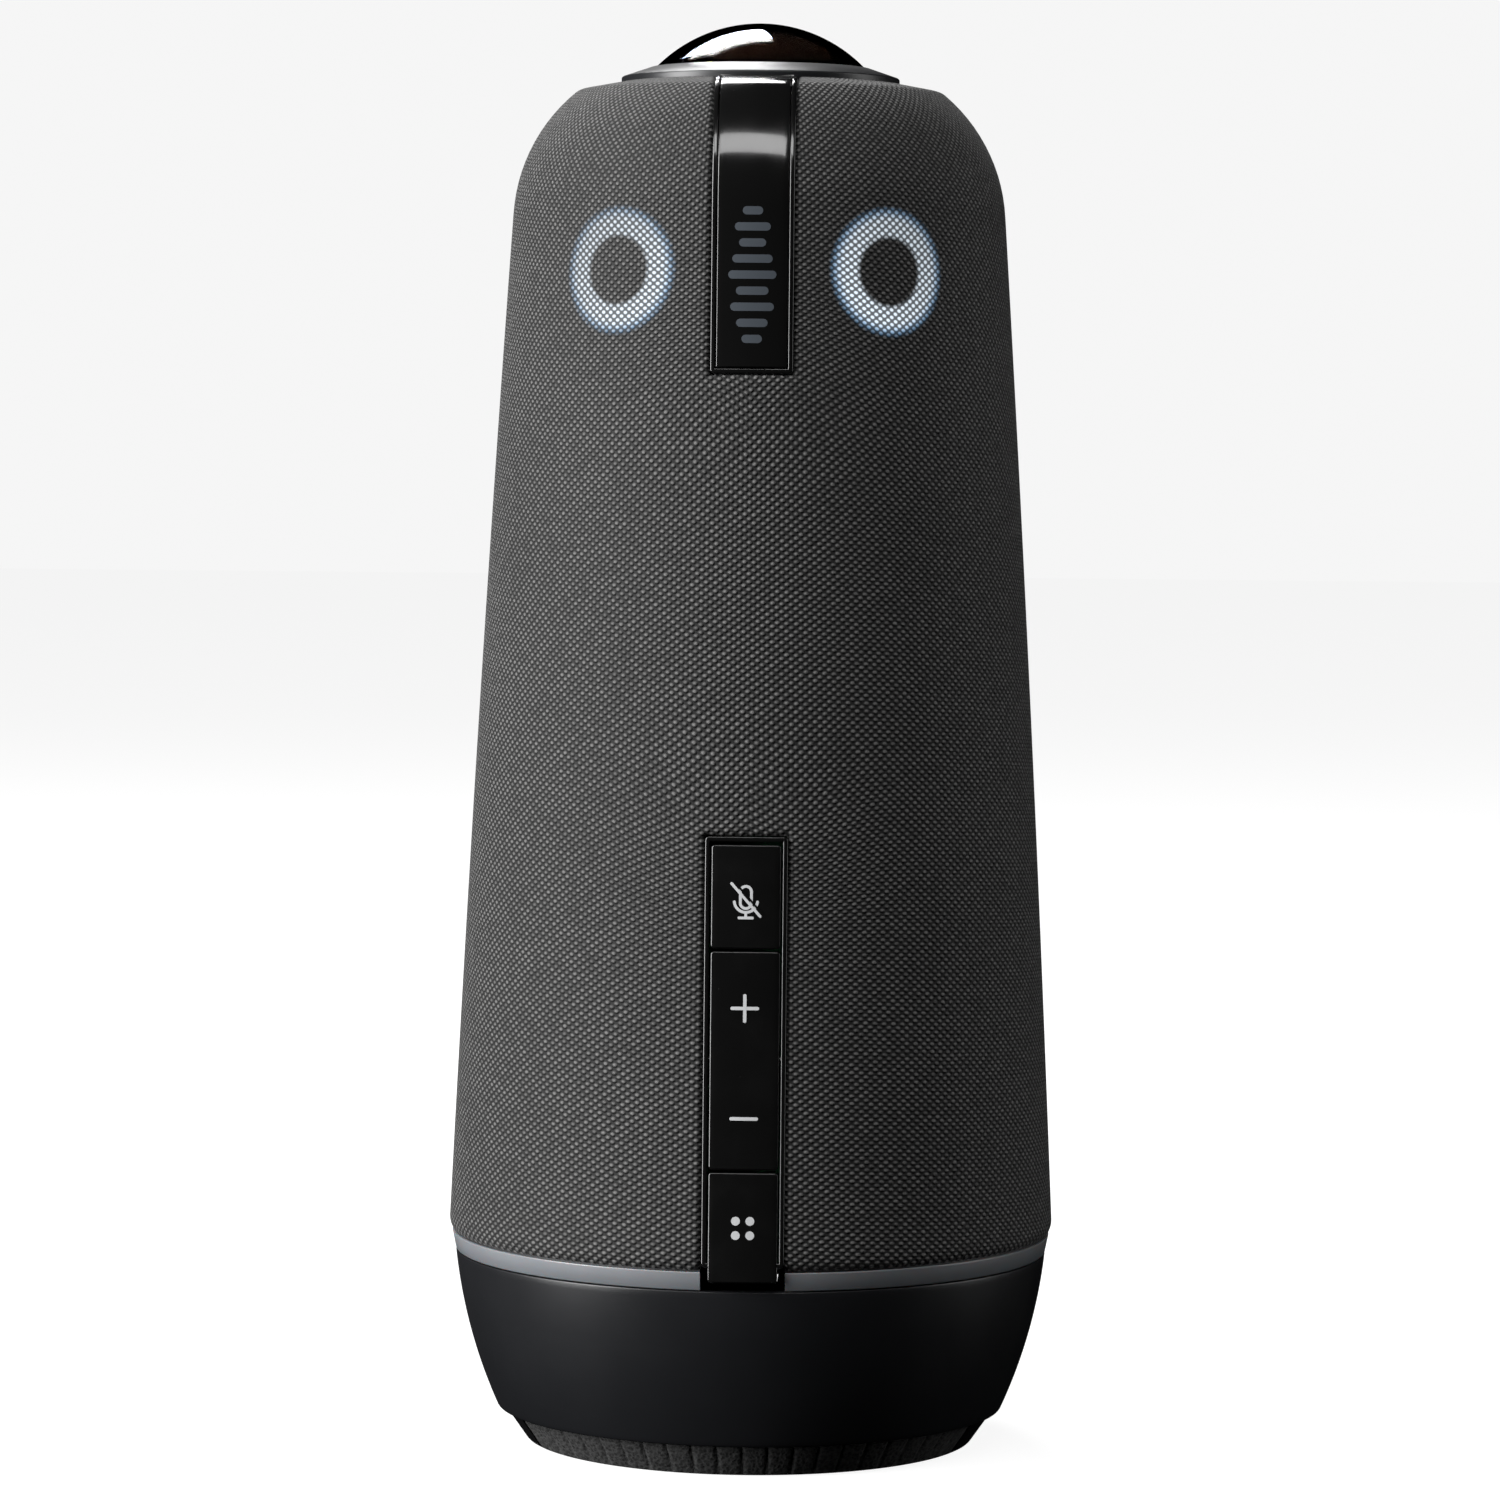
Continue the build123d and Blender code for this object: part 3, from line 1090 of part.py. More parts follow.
def key_frame():
    """Rim round the three keys, with deeper rails and a flange behind the grille frame's wall."""
    low, high = KEY_STRIP_LOW, KEY_STRIP_HIGH
    outer = front_window(STRIP_WIDTH, low, high, STRIP_CORNER)
    opening = front_window(STRIP_WIDTH - 2 * STRIP_WALL, low + STRIP_WALL, high - STRIP_WALL)
    rail = STRIP_WALL / 2
    deep = front_window(STRIP_WIDTH - 2 * rail, low + rail, high - rail)
    frame = layer(outer - opening, STRIP_PROUD, -FRAME_LIP, low)
    frame += layer(outer - deep, -FRAME_LIP, -FRAME_DEPTH, low)
    wide = front_window(STRIP_WIDTH + 2 * FRAME_FLANGE_WIDTH, BULKHEAD_LOW, high + FRAME_FLANGE_WIDTH)
    behind = GRILLE_INNER - CLOTH_GAP
    frame += layer(wide - deep, behind, behind - FRAME_FLANGE, BULKHEAD_LOW)
    bore = Rot(0, 90, 0) * Cylinder(ROCKER_PIN_RADIUS, BIG)
    return frame - key_place(ROCKER_Z) * Pos(0, 0, -ROCKER_DEPTH) * bore


def key_board():
    """Board behind the keys, leaning with the front wall."""
    low, high = BULKHEAD_LOW, KEY_STRIP_HIGH + FRAME_FLANGE_WIDTH
    middle = (low + high) / 2
    board = Box(KEY_BOARD_WIDTH, high - low, BOARD)
    return key_place(middle) * Pos(0, 0, -KEY_BOARD_DEPTH - BOARD / 2) * board


def rubber_dome(z, front):
    """Rubber dome between the key board and the back of a key."""
    back = KEY_BOARD_DEPTH
    place = key_place(z) * Pos(0, 0, -back)
    dome = Cylinder(DOME_RADIUS, DOME_FLANGE, align=(Align.CENTER, Align.CENTER, Align.MIN))
    stem = Cone(DOME_RADIUS * 0.8, DOME_RADIUS * 0.5, back - front - DOME_GAP,
                align=(Align.CENTER, Align.CENTER, Align.MIN))
    return place * (dome + stem)


PUSH_KEY_BACK = FRAME_LIP + RUNNING_GAP + KEY_RIM_DEPTH + DOME_ROOM
ROCKER_BACK = KEY_THICKNESS - STRIP_PROUD + DOME_ROOM


def mute_dome():
    return rubber_dome(MUTE_KEY_LOW + MUTE_KEY_LENGTH / 2, PUSH_KEY_BACK)


def action_dome():
    return rubber_dome(ACTION_KEY_LOW + ACTION_KEY_LENGTH / 2, PUSH_KEY_BACK)


def volume_domes():
    return group([
        rubber_dome(ROCKER_Z + ROCKER_SPREAD, ROCKER_BACK),
        rubber_dome(ROCKER_Z - ROCKER_SPREAD, ROCKER_BACK),
    ])


def top_strip_frame():
    """Shallow tray that follows the shoulder up to the cap."""
    low, floor = TOP_STRIP_LOW, STRIP_PROUD - PLATE_SUNK - TOP_PLATE
    tray = front_window(STRIP_WIDTH, low, OVERALL_HEIGHT, STRIP_CORNER)
    tray = layer(tray, STRIP_PROUD, -TOP_STRIP_DEPTH, low)
    well = front_window(STRIP_WIDTH - 2 * STRIP_WALL, low + STRIP_WALL, OVERALL_HEIGHT + 1)
    tray -= well - body_solid(floor, low - 1)
    return tray - disc(CAP_RADIUS + SEAM, low, OVERALL_HEIGHT + 5)


def top_plate():
    """Glossy plate in the tray."""
    outer = STRIP_PROUD - PLATE_SUNK
    width = STRIP_WIDTH - 2 * STRIP_WALL - 2 * TOP_PLATE_GAP
    blank = front_window(width, TOP_STRIP_LOW + STRIP_WALL + TOP_PLATE_GAP, OVERALL_HEIGHT + 1)
    plate = layer(blank, outer, outer - TOP_PLATE, TOP_STRIP_LOW)
    return plate - disc(CAP_RADIUS + SEAM, TOP_STRIP_LOW, OVERALL_HEIGHT + 5)


# ---------------------------------------------------------------- ribbon cables
def ribbon(points, width, thickness=0.3):
    """Flat cable along a path in the plane of symmetry."""
    strip = trace(FilletPolyline(*points, radius=2.0), thickness)
    return extrude(Plane.YZ * strip, width / 2, both=True)


def ribbon_cables():
    """Flat cable from the camera down to the main board."""
    camera_y = MAIN_BOARD_MARGIN + HEAT_SINK_SIDE / 2 + 4.0
    camera = ribbon([
        (CAMERA_BOARD_WIDTH / 2 + 0.2, SENSOR_BOARD_LOW + BOARD / 2),
        (camera_y, SENSOR_BOARD_LOW + BOARD / 2),
        (camera_y, MAIN_BOARD_TOP + 0.2),
    ], 12.0)
    return camera


PARTS = {
    "foot_pads": foot_pads,
    "foot_sides": foot_sides,
    "base_plate": base_plate,
    "tripod_insert": tripod_insert,
    "base_screws": base_screws,
    "base_shell": base_shell,
    "base_chassis": base_chassis,
    "port_panel": port_panel,
    "io_board": io_board,
    "usb_socket": usb_socket,
    "power_jack": power_jack,
    "ring_led_board": ring_led_board,
    "white_leds": white_leds,
    "light_ring": light_ring,
    "lower_bulkhead": lower_bulkhead,
    "grille_frame": grille_frame,
    "fabric_sleeve": fabric_sleeve,
    "enclosure_tub": enclosure_tub,
    "enclosure_gasket": enclosure_gasket,
    "enclosure_lid": enclosure_lid,
    "driver_frames": driver_frames,
    "driver_magnets": driver_magnets,
    "driver_screws": driver_screws,
    "main_board": main_board,
    "heat_sink": heat_sink,
    "shield_cans": shield_cans,
    "case_screws": case_screws,
    "top_cap": top_cap,
    "cap_nut": cap_nut,
    "lens_dome": lens_dome,
    "lens_retainer": lens_retainer,
    "lens_barrel": lens_barrel,
    "inner_lenses": inner_lenses,
    "camera_holder": camera_holder,
    "image_sensor": image_sensor,
    "sensor_board": sensor_board,
    "camera_heat_sink": camera_heat_sink,
    "mic_board": mic_board,
    "microphones": microphones,
    "mic_gasket": mic_gasket,
    "eye_rings": eye_rings,
    "eye_boards": eye_boards,
    "top_strip_frame": top_strip_frame,
    "top_plate": top_plate,
    "key_frame": key_frame,
    "mute_key": mute_key,
    "volume_key": volume_key,
    "action_key": action_key,
    "rocker_pin": rocker_pin,
    "key_board": key_board,
    "mute_dome": mute_dome,
    "volume_domes": volume_domes,
    "action_dome": action_dome,
    "ribbon_cables": ribbon_cables,
}

os.makedirs("parts", exist_ok=True)
for node, make in PARTS.items():
    export_step(make(), f"parts/{node}.step")
for side in DRIVER_AZIMUTHS:
    export_step(each_driver(driver_cone())[side], f"parts/cone_{side}.step")
    export_step(each_driver(driver_surround())[side], f"parts/surround_{side}.step")
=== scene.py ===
import json
from math import asin, atan2, copysign, cos, hypot, pi, radians, sin, sqrt

import bpy
from mathutils import Matrix, Vector


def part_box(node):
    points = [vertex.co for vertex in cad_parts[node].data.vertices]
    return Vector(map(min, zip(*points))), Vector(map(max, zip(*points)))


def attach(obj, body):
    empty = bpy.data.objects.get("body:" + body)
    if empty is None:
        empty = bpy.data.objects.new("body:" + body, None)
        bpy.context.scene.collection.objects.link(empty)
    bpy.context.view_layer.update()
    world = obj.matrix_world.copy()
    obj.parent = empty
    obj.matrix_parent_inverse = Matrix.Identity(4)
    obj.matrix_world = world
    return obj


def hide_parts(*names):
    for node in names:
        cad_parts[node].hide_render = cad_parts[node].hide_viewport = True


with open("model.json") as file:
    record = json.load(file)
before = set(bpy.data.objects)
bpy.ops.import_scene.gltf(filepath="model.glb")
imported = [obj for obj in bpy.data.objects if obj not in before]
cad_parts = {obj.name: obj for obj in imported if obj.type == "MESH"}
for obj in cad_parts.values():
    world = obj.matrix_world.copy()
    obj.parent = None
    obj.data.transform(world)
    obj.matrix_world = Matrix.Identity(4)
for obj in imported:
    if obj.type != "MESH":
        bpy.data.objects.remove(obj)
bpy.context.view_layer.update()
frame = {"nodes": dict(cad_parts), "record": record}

MM = 0.001

# ---------------------------------------------------------------- sizes read from the frame
CLOTH_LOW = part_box("fabric_sleeve")[0].z
CLOTH_LOW_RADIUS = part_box("fabric_sleeve")[1].x
TOP_FACE_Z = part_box("fabric_sleeve")[1].z
CROWN_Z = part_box("lens_dome")[1].z
LENS_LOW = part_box("lens_dome")[0].z
LENS_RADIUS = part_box("lens_dome")[1].x
CAP_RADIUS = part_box("top_cap")[1].x
CAP_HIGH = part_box("top_cap")[1].z
SHELL_LOW, SHELL_HIGH = (corner.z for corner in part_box("base_shell"))
SHELL_TOP_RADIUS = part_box("base_shell")[1].x
RING_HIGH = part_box("light_ring")[1].z
RING_HIGH_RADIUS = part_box("light_ring")[1].x
FOOT_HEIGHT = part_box("foot_pads")[1].z
FOOT_TOP_RADIUS = -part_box("foot_pads")[0].y
KEY_STRIP_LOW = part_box("key_frame")[0].z
STRIP_WIDTH = 2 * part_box("top_strip_frame")[1].x
TOP_STRIP_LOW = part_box("top_strip_frame")[0].z
KEY_WIDTH = 2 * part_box("volume_key")[1].x
EYE_Z = sum(corner.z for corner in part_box("eye_rings")) / 2

# ---------------------------------------------------------------- sizes of the shared outline
BODY_RADIUS = 57.3 * MM
BODY_TAPER = 10.85 * MM
SIDE_ARC_RADIUS = 9000 * MM
SHOULDER_RADIUS = 32.1 * MM
TOP_FACE_WIDTH = 7.9 * MM
TOP_FACE_FALL = 1.5 * MM
SEAM = 0.2 * MM
STRIP_WALL = 0.9 * MM
STRIP_PROUD = 0.3 * MM
STRIP_CORNER = 0.75 * MM
PLATE_SUNK = 0.1 * MM
KEY_END_GAP = 0.6 * MM
SHELL_LOW_RADIUS = 48.0 * MM
SHELL_BULGE = 1.25 * MM
SHELL_WALL = 2.2 * MM
FOOT_FLARE = 4.2 * MM
FRONT_PAD_HALF_ANGLE = radians(65)
PAD_GAP_ANGLE = radians(1)
LENS_DOME_RADIUS = 27.5 * MM
LENS_CROWN = 1.4 * MM
LENS_INNER_RADIUS = 17.4 * MM
REAR_LENS_RADIUS = 11.0 * MM
CAP_EDGE = 1.1 * MM
SPIGOT_RADIUS = 24.3 * MM
EYE_AZIMUTH = radians(31.7)
EYE_OUTER_RADIUS = 11.65 * MM
EYE_INNER_RADIUS = 6.25 * MM

# ---------------------------------------------------------------- the weave
WEAVE_COLUMNS = 186      # beads round the body
WEAVE_ROW = 1.40 * MM    # height of one full repeat, which is two rows of beads
WEAVE_TURNS = 16         # rows climbed in once round the body

# ---------------------------------------------------------------- the view
CAMERA_DISTANCE = 1044 * MM
CAMERA_HEIGHT = 192.6 * MM
CAMERA_AZIMUTH = radians(1.45)
CAMERA_PITCH = radians(-3.38)
CAMERA_YAW = radians(0.05)
CAMERA_ROLL = radians(0.5)
CAMERA_LENS = 132.2


def make_camera():
    data = bpy.data.cameras.new("camera")
    data.sensor_width = 36
    data.lens = CAMERA_LENS
    data.clip_start = 0.05
    camera = bpy.data.objects.new("camera", data)
    bpy.context.scene.collection.objects.link(camera)
    place = Vector((sin(CAMERA_AZIMUTH), -cos(CAMERA_AZIMUTH), 0)) * CAMERA_DISTANCE
    place.z = CAMERA_HEIGHT
    turn = Matrix.Rotation(CAMERA_AZIMUTH + CAMERA_YAW, 4, "Z")
    tilt = Matrix.Rotation(pi / 2 + CAMERA_PITCH, 4, "X")
    roll = Matrix.Rotation(CAMERA_ROLL, 4, "Z")
    camera.matrix_world = Matrix.Translation(place) @ turn @ tilt @ roll
    bpy.context.scene.camera = camera


# ---------------------------------------------------------------- outline of the body
def arc(centre, radius, start, end):
    """A stretch of outline: its length, and its point and outward normal at a distance along it."""
    length = radius * abs(end - start)

    def at(distance):
        angle = start + (end - start) * distance / length
        normal = Vector((cos(angle), sin(angle)))
        return centre + normal * radius, normal

    return length, at


def straight(start, end):
    along = (end - start).normalized()
    normal = Vector((along.y, -along.x))
    return (end - start).length, lambda distance: (start + along * distance, normal)


def body_outline():
    """Side, shoulder, soft corner and top face, from the cloth's lower edge to the cap."""
    soft = 3.0 * MM
    inner = Vector((CAP_RADIUS + SEAM, TOP_FACE_Z))
    corner = inner + Vector((TOP_FACE_WIDTH, -TOP_FACE_FALL))
    shoulder_x = BODY_RADIUS - BODY_TAPER - SHOULDER_RADIUS
    rise = sqrt(SHOULDER_RADIUS**2 - (corner.x - shoulder_x) ** 2)
    shoulder = Vector((shoulder_x, corner.y - rise))
    start = Vector((CLOTH_LOW_RADIUS, CLOTH_LOW))
    across = shoulder - start
    near = SIDE_ARC_RADIUS - SHOULDER_RADIUS
    along = (SIDE_ARC_RADIUS**2 - near**2 + across.length_squared) / (2 * across.length)
    unit = across.normalized()
    side = start + unit * along + Vector((-unit.y, unit.x)) * sqrt(SIDE_ARC_RADIUS**2 - along**2)
    side_from = atan2(start.y - side.y, start.x - side.x)
    side_to = atan2(shoulder.y - side.y, shoulder.x - side.x)
    corner_from = atan2(rise, corner.x - shoulder_x)
    corner_to = atan2(TOP_FACE_WIDTH, TOP_FACE_FALL)
    half = (corner_to - corner_from) / 2
    reach = soft * sin(half) / cos(half)
    middle = (corner_from + corner_to) / 2
    soft_centre = corner - Vector((cos(middle), sin(middle))) * (soft / cos(half))
    face = (inner - corner).normalized()
    return [
        arc(side, SIDE_ARC_RADIUS, side_from, side_to),
        arc(shoulder, SHOULDER_RADIUS, side_to, corner_from - reach / SHOULDER_RADIUS),
        arc(soft_centre, soft, corner_from, corner_to),
        straight(corner + face * reach, inner),
    ]


OUTLINE = body_outline()
OUTLINE_LENGTH = sum(length for length, _ in OUTLINE)


def outline_at(s):
    """Point (radius, height) and normal at distance s up the outline."""
    for length, at in OUTLINE[:-1]:
        if s <= length:
            return at(s)
        s -= length
    return OUTLINE[-1][1](s)


def up_to(z):
    """Distance up the outline at which it reaches height z."""
    low, high = 0.0, OUTLINE_LENGTH
    for _ in range(50):
        middle = (low + high) / 2
        if outline_at(middle)[0].y < z:
            low = middle
        else:
            high = middle
    return low


def on_front(x, s, offset=0.0):
    """Point on the body's front: x across, s up the outline, offset out of the surface."""
    point, normal = outline_at(s)
    radius = point.x + normal.x * offset
    return Vector((x, -sqrt(radius**2 - x**2), point.y + normal.y * offset))


def below_outline(z, x, offset):
    """As on_front, for heights under the cloth, where the side goes on as a straight line."""
    point, normal = outline_at(0)
    radius = point.x - (z - point.y) * normal.y / normal.x + offset
    return Vector((x, -sqrt(radius**2 - x**2), z))


def on_strip(x, s, offset):
    """As on_front, where a distance below zero is a height under the cloth's lower edge."""
    if s >= 0:
        return on_front(x, s, offset)
    return below_outline(CLOTH_LOW + s, x, offset)


# ---------------------------------------------------------------- mesh helpers
def new_object(name, points, faces, material, sharp=40, smooth=True):
    mesh = bpy.data.meshes.new(name)
    mesh.from_pydata([tuple(p) for p in points], [], faces)
    mesh.validate()
    mesh.materials.append(material)
    piece = bpy.data.objects.new(name, mesh)
    bpy.context.scene.collection.objects.link(piece)
    if smooth:
        mesh.shade_smooth()
        mesh.set_sharp_from_angle(angle=radians(sharp))
    return piece


def finished(piece, body, slot, *nodes):
    """Says which body a piece rides on and hides the CAD nodes it stands for; slot is not used."""
    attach(piece, body)
    if nodes:
        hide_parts(*nodes)
    return piece


def spread(start, end, step):
    """Evenly spaced values from start up to, and without, end."""
    count = max(1, round((end - start) / step))
    return [start + (end - start) * n / count for n in range(count)]


def evenly(start, end, steps):
    """Evenly spaced values from start to end, both included."""
    return [start + (end - start) * n / steps for n in range(steps + 1)]


def ring_faces(a, b, count):
    """Quads between two closed rings of points that start at a and b."""
    return [(a + n, a + (n + 1) % count, b + (n + 1) % count, b + n) for n in range(count)]


def sector_faces(columns, count):
    """Faces of an outline of count points swept through a part of a turn, with its two ends."""
    faces = []
    for n in range(columns):
        a, b = n * count, (n + 1) * count
        for m in range(count):
            k = (m + 1) % count
            faces.append((a + m, b + m, b + k, a + k))
    last = columns * count
    return faces + [tuple(reversed(range(last, last + count))), tuple(range(count))]


def joined(parts):
    """Points and faces of several parts as one."""
    points, faces = [], []
    for more_points, more_faces in parts:
        start = len(points)
        points += more_points
        faces += [tuple(start + n for n in face) for face in more_faces]
    return points, faces


def towards_axis(point, depth):
    return point - Vector((point.x, point.y, 0)).normalized() * depth


def lathe(outline, columns):
    """Points and faces of a full turn of an outline of (radius, height) points."""
    points, faces = [], []
    for radius, z in outline:
        for n in range(columns):
            angle = 2 * pi * n / columns
            points.append((radius * sin(angle), -radius * cos(angle), z))
    for row in range(len(outline) - 1):
        faces += ring_faces(row * columns, (row + 1) * columns, columns)
    return points, faces


def rounded(points, radius, steps=3):
    """An outline with each inner corner rounded by up to radius."""
    out = [points[0]]
    for before, here, after in zip(points, points[1:], points[2:]):
        here = Vector(here)
        back, on = Vector(before) - here, Vector(after) - here
        reach = min(radius, 0.45 * back.length, 0.45 * on.length)
        first, last = here + back.normalized() * reach, here + on.normalized() * reach
        for n in range(steps + 1):
            t = n / steps
            out.append(first * (1 - t) ** 2 + here * (2 * t * (1 - t)) + last * t**2)
    return out + [points[-1]]


def banded_angle(t, radius, band, reference):
    """Azimuth of column t: inside the band a column keeps its distance from the middle plane."""
    edge = asin(band / reference)
    if abs(t) <= edge:
        return asin(reference * sin(t) / radius)
    here = asin(band / radius)
    return copysign(here + (abs(t) - edge) / (pi - edge) * (pi - here), t)


EDGE_STEPS = [step * MM for step in (0, 0.12, 0.3, 0.55, 0.9, 1.5, 2.4, 3.6)]


def banded_columns(band, reference, step):
    """Column parameters round a body, closer together beside the band's edges."""
    edge = asin(band / reference)
    inside = [asin(x / reference) for x in spread(0, band, step)]
    beside = [edge + width / reference for width in EDGE_STEPS]
    last = beside[-1] + step / reference
    right = inside + beside + spread(last, pi, step / reference) + [pi]
    return [-t for t in reversed(right[1:])][1:] + right


def tuck_edges(points, faces, inward):
    """Folds every open edge inwards: each edge point gets a copy moved by inward(point)."""
    count = {}
    for face in faces:
        for a, b in zip(face, face[1:] + face[:1]):
            key = (min(a, b), max(a, b))
            count.setdefault(key, []).append((a, b))
    copies = {}
    for uses in [uses for uses in count.values() if len(uses) == 1]:
        a, b = uses[0]
        for n in (a, b):
            if n not in copies:
                copies[n] = len(points)
                points.append(inward(Vector(points[n])))
        faces.append((b, a, copies[a], copies[b]))


# ---------------------------------------------------------------- node materials
class Paint:
    """A node material under construction."""

    def __init__(self, name, colour=(0.5, 0.5, 0.5), roughness=0.5, **sockets):
        self.material = bpy.data.materials.new(name)
        self.material.use_nodes = True
        self.tree = self.material.node_tree
        self.shader = self.tree.nodes["Principled BSDF"]
        self.put("Base Color", (*colour, 1))
        self.put("Roughness", roughness)
        for socket, value in sockets.items():
            self.put(socket.replace("_", " "), value)
        self.coordinates = self.tree.nodes.new("ShaderNodeTexCoord").outputs["Object"]

    def put(self, socket, value):
        self.feed(self.shader.inputs[socket], value)

    def feed(self, socket, value):
        if isinstance(value, bpy.types.NodeSocket):
            self.tree.links.new(value, socket)
        else:
            socket.default_value = value

    def node(self, kind, output, inputs=(), **settings):
        node = self.tree.nodes.new("ShaderNode" + kind)
        for name, value in settings.items():
            setattr(node, name, value)
        for name, value in dict(inputs).items():
            self.feed(node.inputs[name], value)
        return node.outputs[output]

    def math(self, operation, *values):
        node = self.tree.nodes.new("ShaderNodeMath")
        node.operation = operation
        for socket, value in zip(node.inputs, values):
            self.feed(socket, value)
        return node.outputs[0]

    def noise(self, scale, detail=3.0, stretch=None):
        """Grey noise of about 1 / scale metres; stretch scales the axes first."""
        vector = self.coordinates
        if stretch:
            vector = self.node("Mapping", "Vector", {"Vector": vector, "Scale": stretch})
        return self.node("TexNoise", "Fac", {"Vector": vector, "Scale": scale, "Detail": detail})

    def between(self, value, low, high, start=0.0, end=1.0):
        """Smooth step from start to end as value goes from low to high."""
        return self.node("MapRange", "Result", {
            "Value": value, "From Min": low, "From Max": high, "To Min": start, "To Max": end,
        }, interpolation_type="SMOOTHSTEP")

    def mix(self, share, first, second):
        node = self.tree.nodes.new("ShaderNodeMix")
        node.data_type = "RGBA"
        self.feed(node.inputs["Factor"], share)
        for socket, value in zip([s for s in node.inputs if s.type == "RGBA"], (first, second)):
            self.feed(socket, value)
        return [s for s in node.outputs if s.type == "RGBA"][0]

    def bump(self, height, depth, strength=1.0):
        self.put("Normal", self.node("Bump", "Normal", {
            "Height": height, "Distance": depth, "Strength": strength,
        }))


def grey(value, warm=0.0):
    return (value * (1 + warm), value, value * (1 - warm), 1)


def moulded(name, colour, roughness, grain=2500, depth=0.02 * MM, mottle=0.15, **sockets):
    """Moulded plastic or rubber: fine grain in the surface, and slow changes in tone and gloss."""
    paint = Paint(name, colour, roughness, **sockets)
    slow = paint.noise(35, 4)
    light = tuple(min(1, c * (1 + mottle)) for c in colour) + (1,)
    dark = tuple(c * (1 - mottle) for c in colour) + (1,)
    paint.put("Base Color", paint.mix(slow, dark, light))
    spread_high = paint.between(slow, 0.3, 0.7, roughness * 0.92, min(1, roughness * 1.08))
    paint.put("Roughness", spread_high)
    paint.bump(paint.noise(grain, 2), depth)
    return paint.material


def metal(name, colour, roughness, stretch=(1, 1, 30)):
    """Metal with brushed streaks."""
    paint = Paint(name, colour, roughness, Metallic=1.0)
    streaks = paint.noise(120, 3, stretch)
    paint.put("Roughness", paint.between(streaks, 0.3, 0.7, roughness * 0.8, roughness * 1.3))
    paint.put("Base Color", paint.mix(
        streaks, tuple(c * 0.85 for c in colour) + (1,), (*colour, 1)
    ))
    paint.bump(streaks, 0.01 * MM)
    return paint.material


def circuit_board():
    """Green solder mask with raised tracks."""
    paint = Paint("board_green", (0.01, 0.07, 0.03), 0.35)
    tracks = paint.node("TexBrick", "Fac", {
        "Vector": paint.coordinates, "Scale": 260.0, "Mortar Size": 0.03, "Brick Width": 1.7,
    })
    paint.put("Base Color", paint.mix(tracks, (0.008, 0.06, 0.025, 1), (0.02, 0.13, 0.05, 1)))
    paint.bump(tracks, 0.03 * MM)
    return paint.material


def gloss_black():
    """Polished black plastic with the odd speck of dust."""
    paint = Paint("gloss_black", (0.0045, 0.0045, 0.005), 0.13, Coat_Weight=0.3, Coat_Roughness=0.04)
    specks = paint.node("TexVoronoi", "Distance", {"Vector": paint.coordinates, "Scale": 420.0})
    few = paint.between(paint.noise(900, 1), 0.66, 0.72)
    dust = paint.math("MULTIPLY", paint.between(specks, 0.07, 0.03), few)
    paint.put("Base Color", paint.mix(dust, grey(0.005), grey(0.12)))
    smear = paint.noise(60, 4, (1, 1, 0.4))
    paint.put("Roughness", paint.between(smear, 0.35, 0.7, 0.10, 0.2))
    return paint


def key_black():
    """As the frame, a little softer from fingers."""
    paint = gloss_black()
    paint.material.name = "key_black"
    smear = paint.noise(140, 5)
    paint.put("Roughness", paint.between(smear, 0.3, 0.75, 0.14, 0.27))
    return paint.material


def printed(name, colour):
    """Thin print on the glossy pieces."""
    paint = Paint(name, colour, 0.45)
    paint.bump(paint.noise(6000, 2), 0.01 * MM)
    paint.put("Base Color", paint.mix(
        paint.noise(700, 3), tuple(c * 0.94 for c in colour) + (1,), (*colour, 1)
    ))
    return paint.material


def frosted():
    """Milky light guide with painted light: painted shade darker towards the board below it, painted
    highlight brighter along its outer face towards its top.
    """
    paint = Paint("frosted", (0.2, 0.21, 0.225), 0.38, Subsurface_Weight=0.25,
                  Subsurface_Scale=0.002, Coat_Weight=0.25, Coat_Roughness=0.2)
    height = paint.node("SeparateXYZ", "Z", {"Vector": paint.coordinates})
    # Painted light: the base colour ramps with height, lighter towards the top edge and painted shade
    # towards the board below, mixed with random cloudiness.
    rise = paint.between(height, RING_HIGH - 3.4 * MM, RING_HIGH)
    cloud_and_painted_light = paint.math("MULTIPLY_ADD", paint.noise(90, 3), 0.3, paint.math("MULTIPLY", rise, 0.7))
    paint.put("Base Color", paint.mix(cloud_and_painted_light, (0.15, 0.16, 0.175, 1), (0.23, 0.24, 0.255, 1)))
    paint.bump(paint.noise(3500, 2), 0.01 * MM)
    return paint.material


def lens_glass():
    """Clear glass with an anti-reflection film, which colours its reflections."""
    paint = Paint("lens_glass", (1, 1, 1), 0.0, Transmission_Weight=1.0, IOR=1.52,
                  Thin_Film_Thickness=430.0, Thin_Film_IOR=1.38)
    paint.put("Roughness", paint.between(paint.noise(50, 3), 0.4, 0.8, 0.0, 0.03))
    return paint.material


def inner_glass():
    """Dark brown of the elements and black walls seen through the dome, with a painted glow that lightens it
    towards the crown.
    """
    paint = Paint("inner_glass", (0.02, 0.01, 0.006), 0.12, Specular_IOR_Level=0.3)
    height = paint.node("SeparateXYZ", "Z", {"Vector": paint.coordinates})
    # Painted light: the colour goes from near black low down to lighter brown towards the crown, broken up
    # by noise.
    rise = paint.between(height, LENS_LOW, CROWN_Z)
    painted_glow = paint.math("MULTIPLY", rise, paint.noise(70, 2))
    paint.put("Base Color", paint.mix(painted_glow, (0.004, 0.003, 0.002, 1), (0.045, 0.018, 0.008, 1)))
    return paint.material


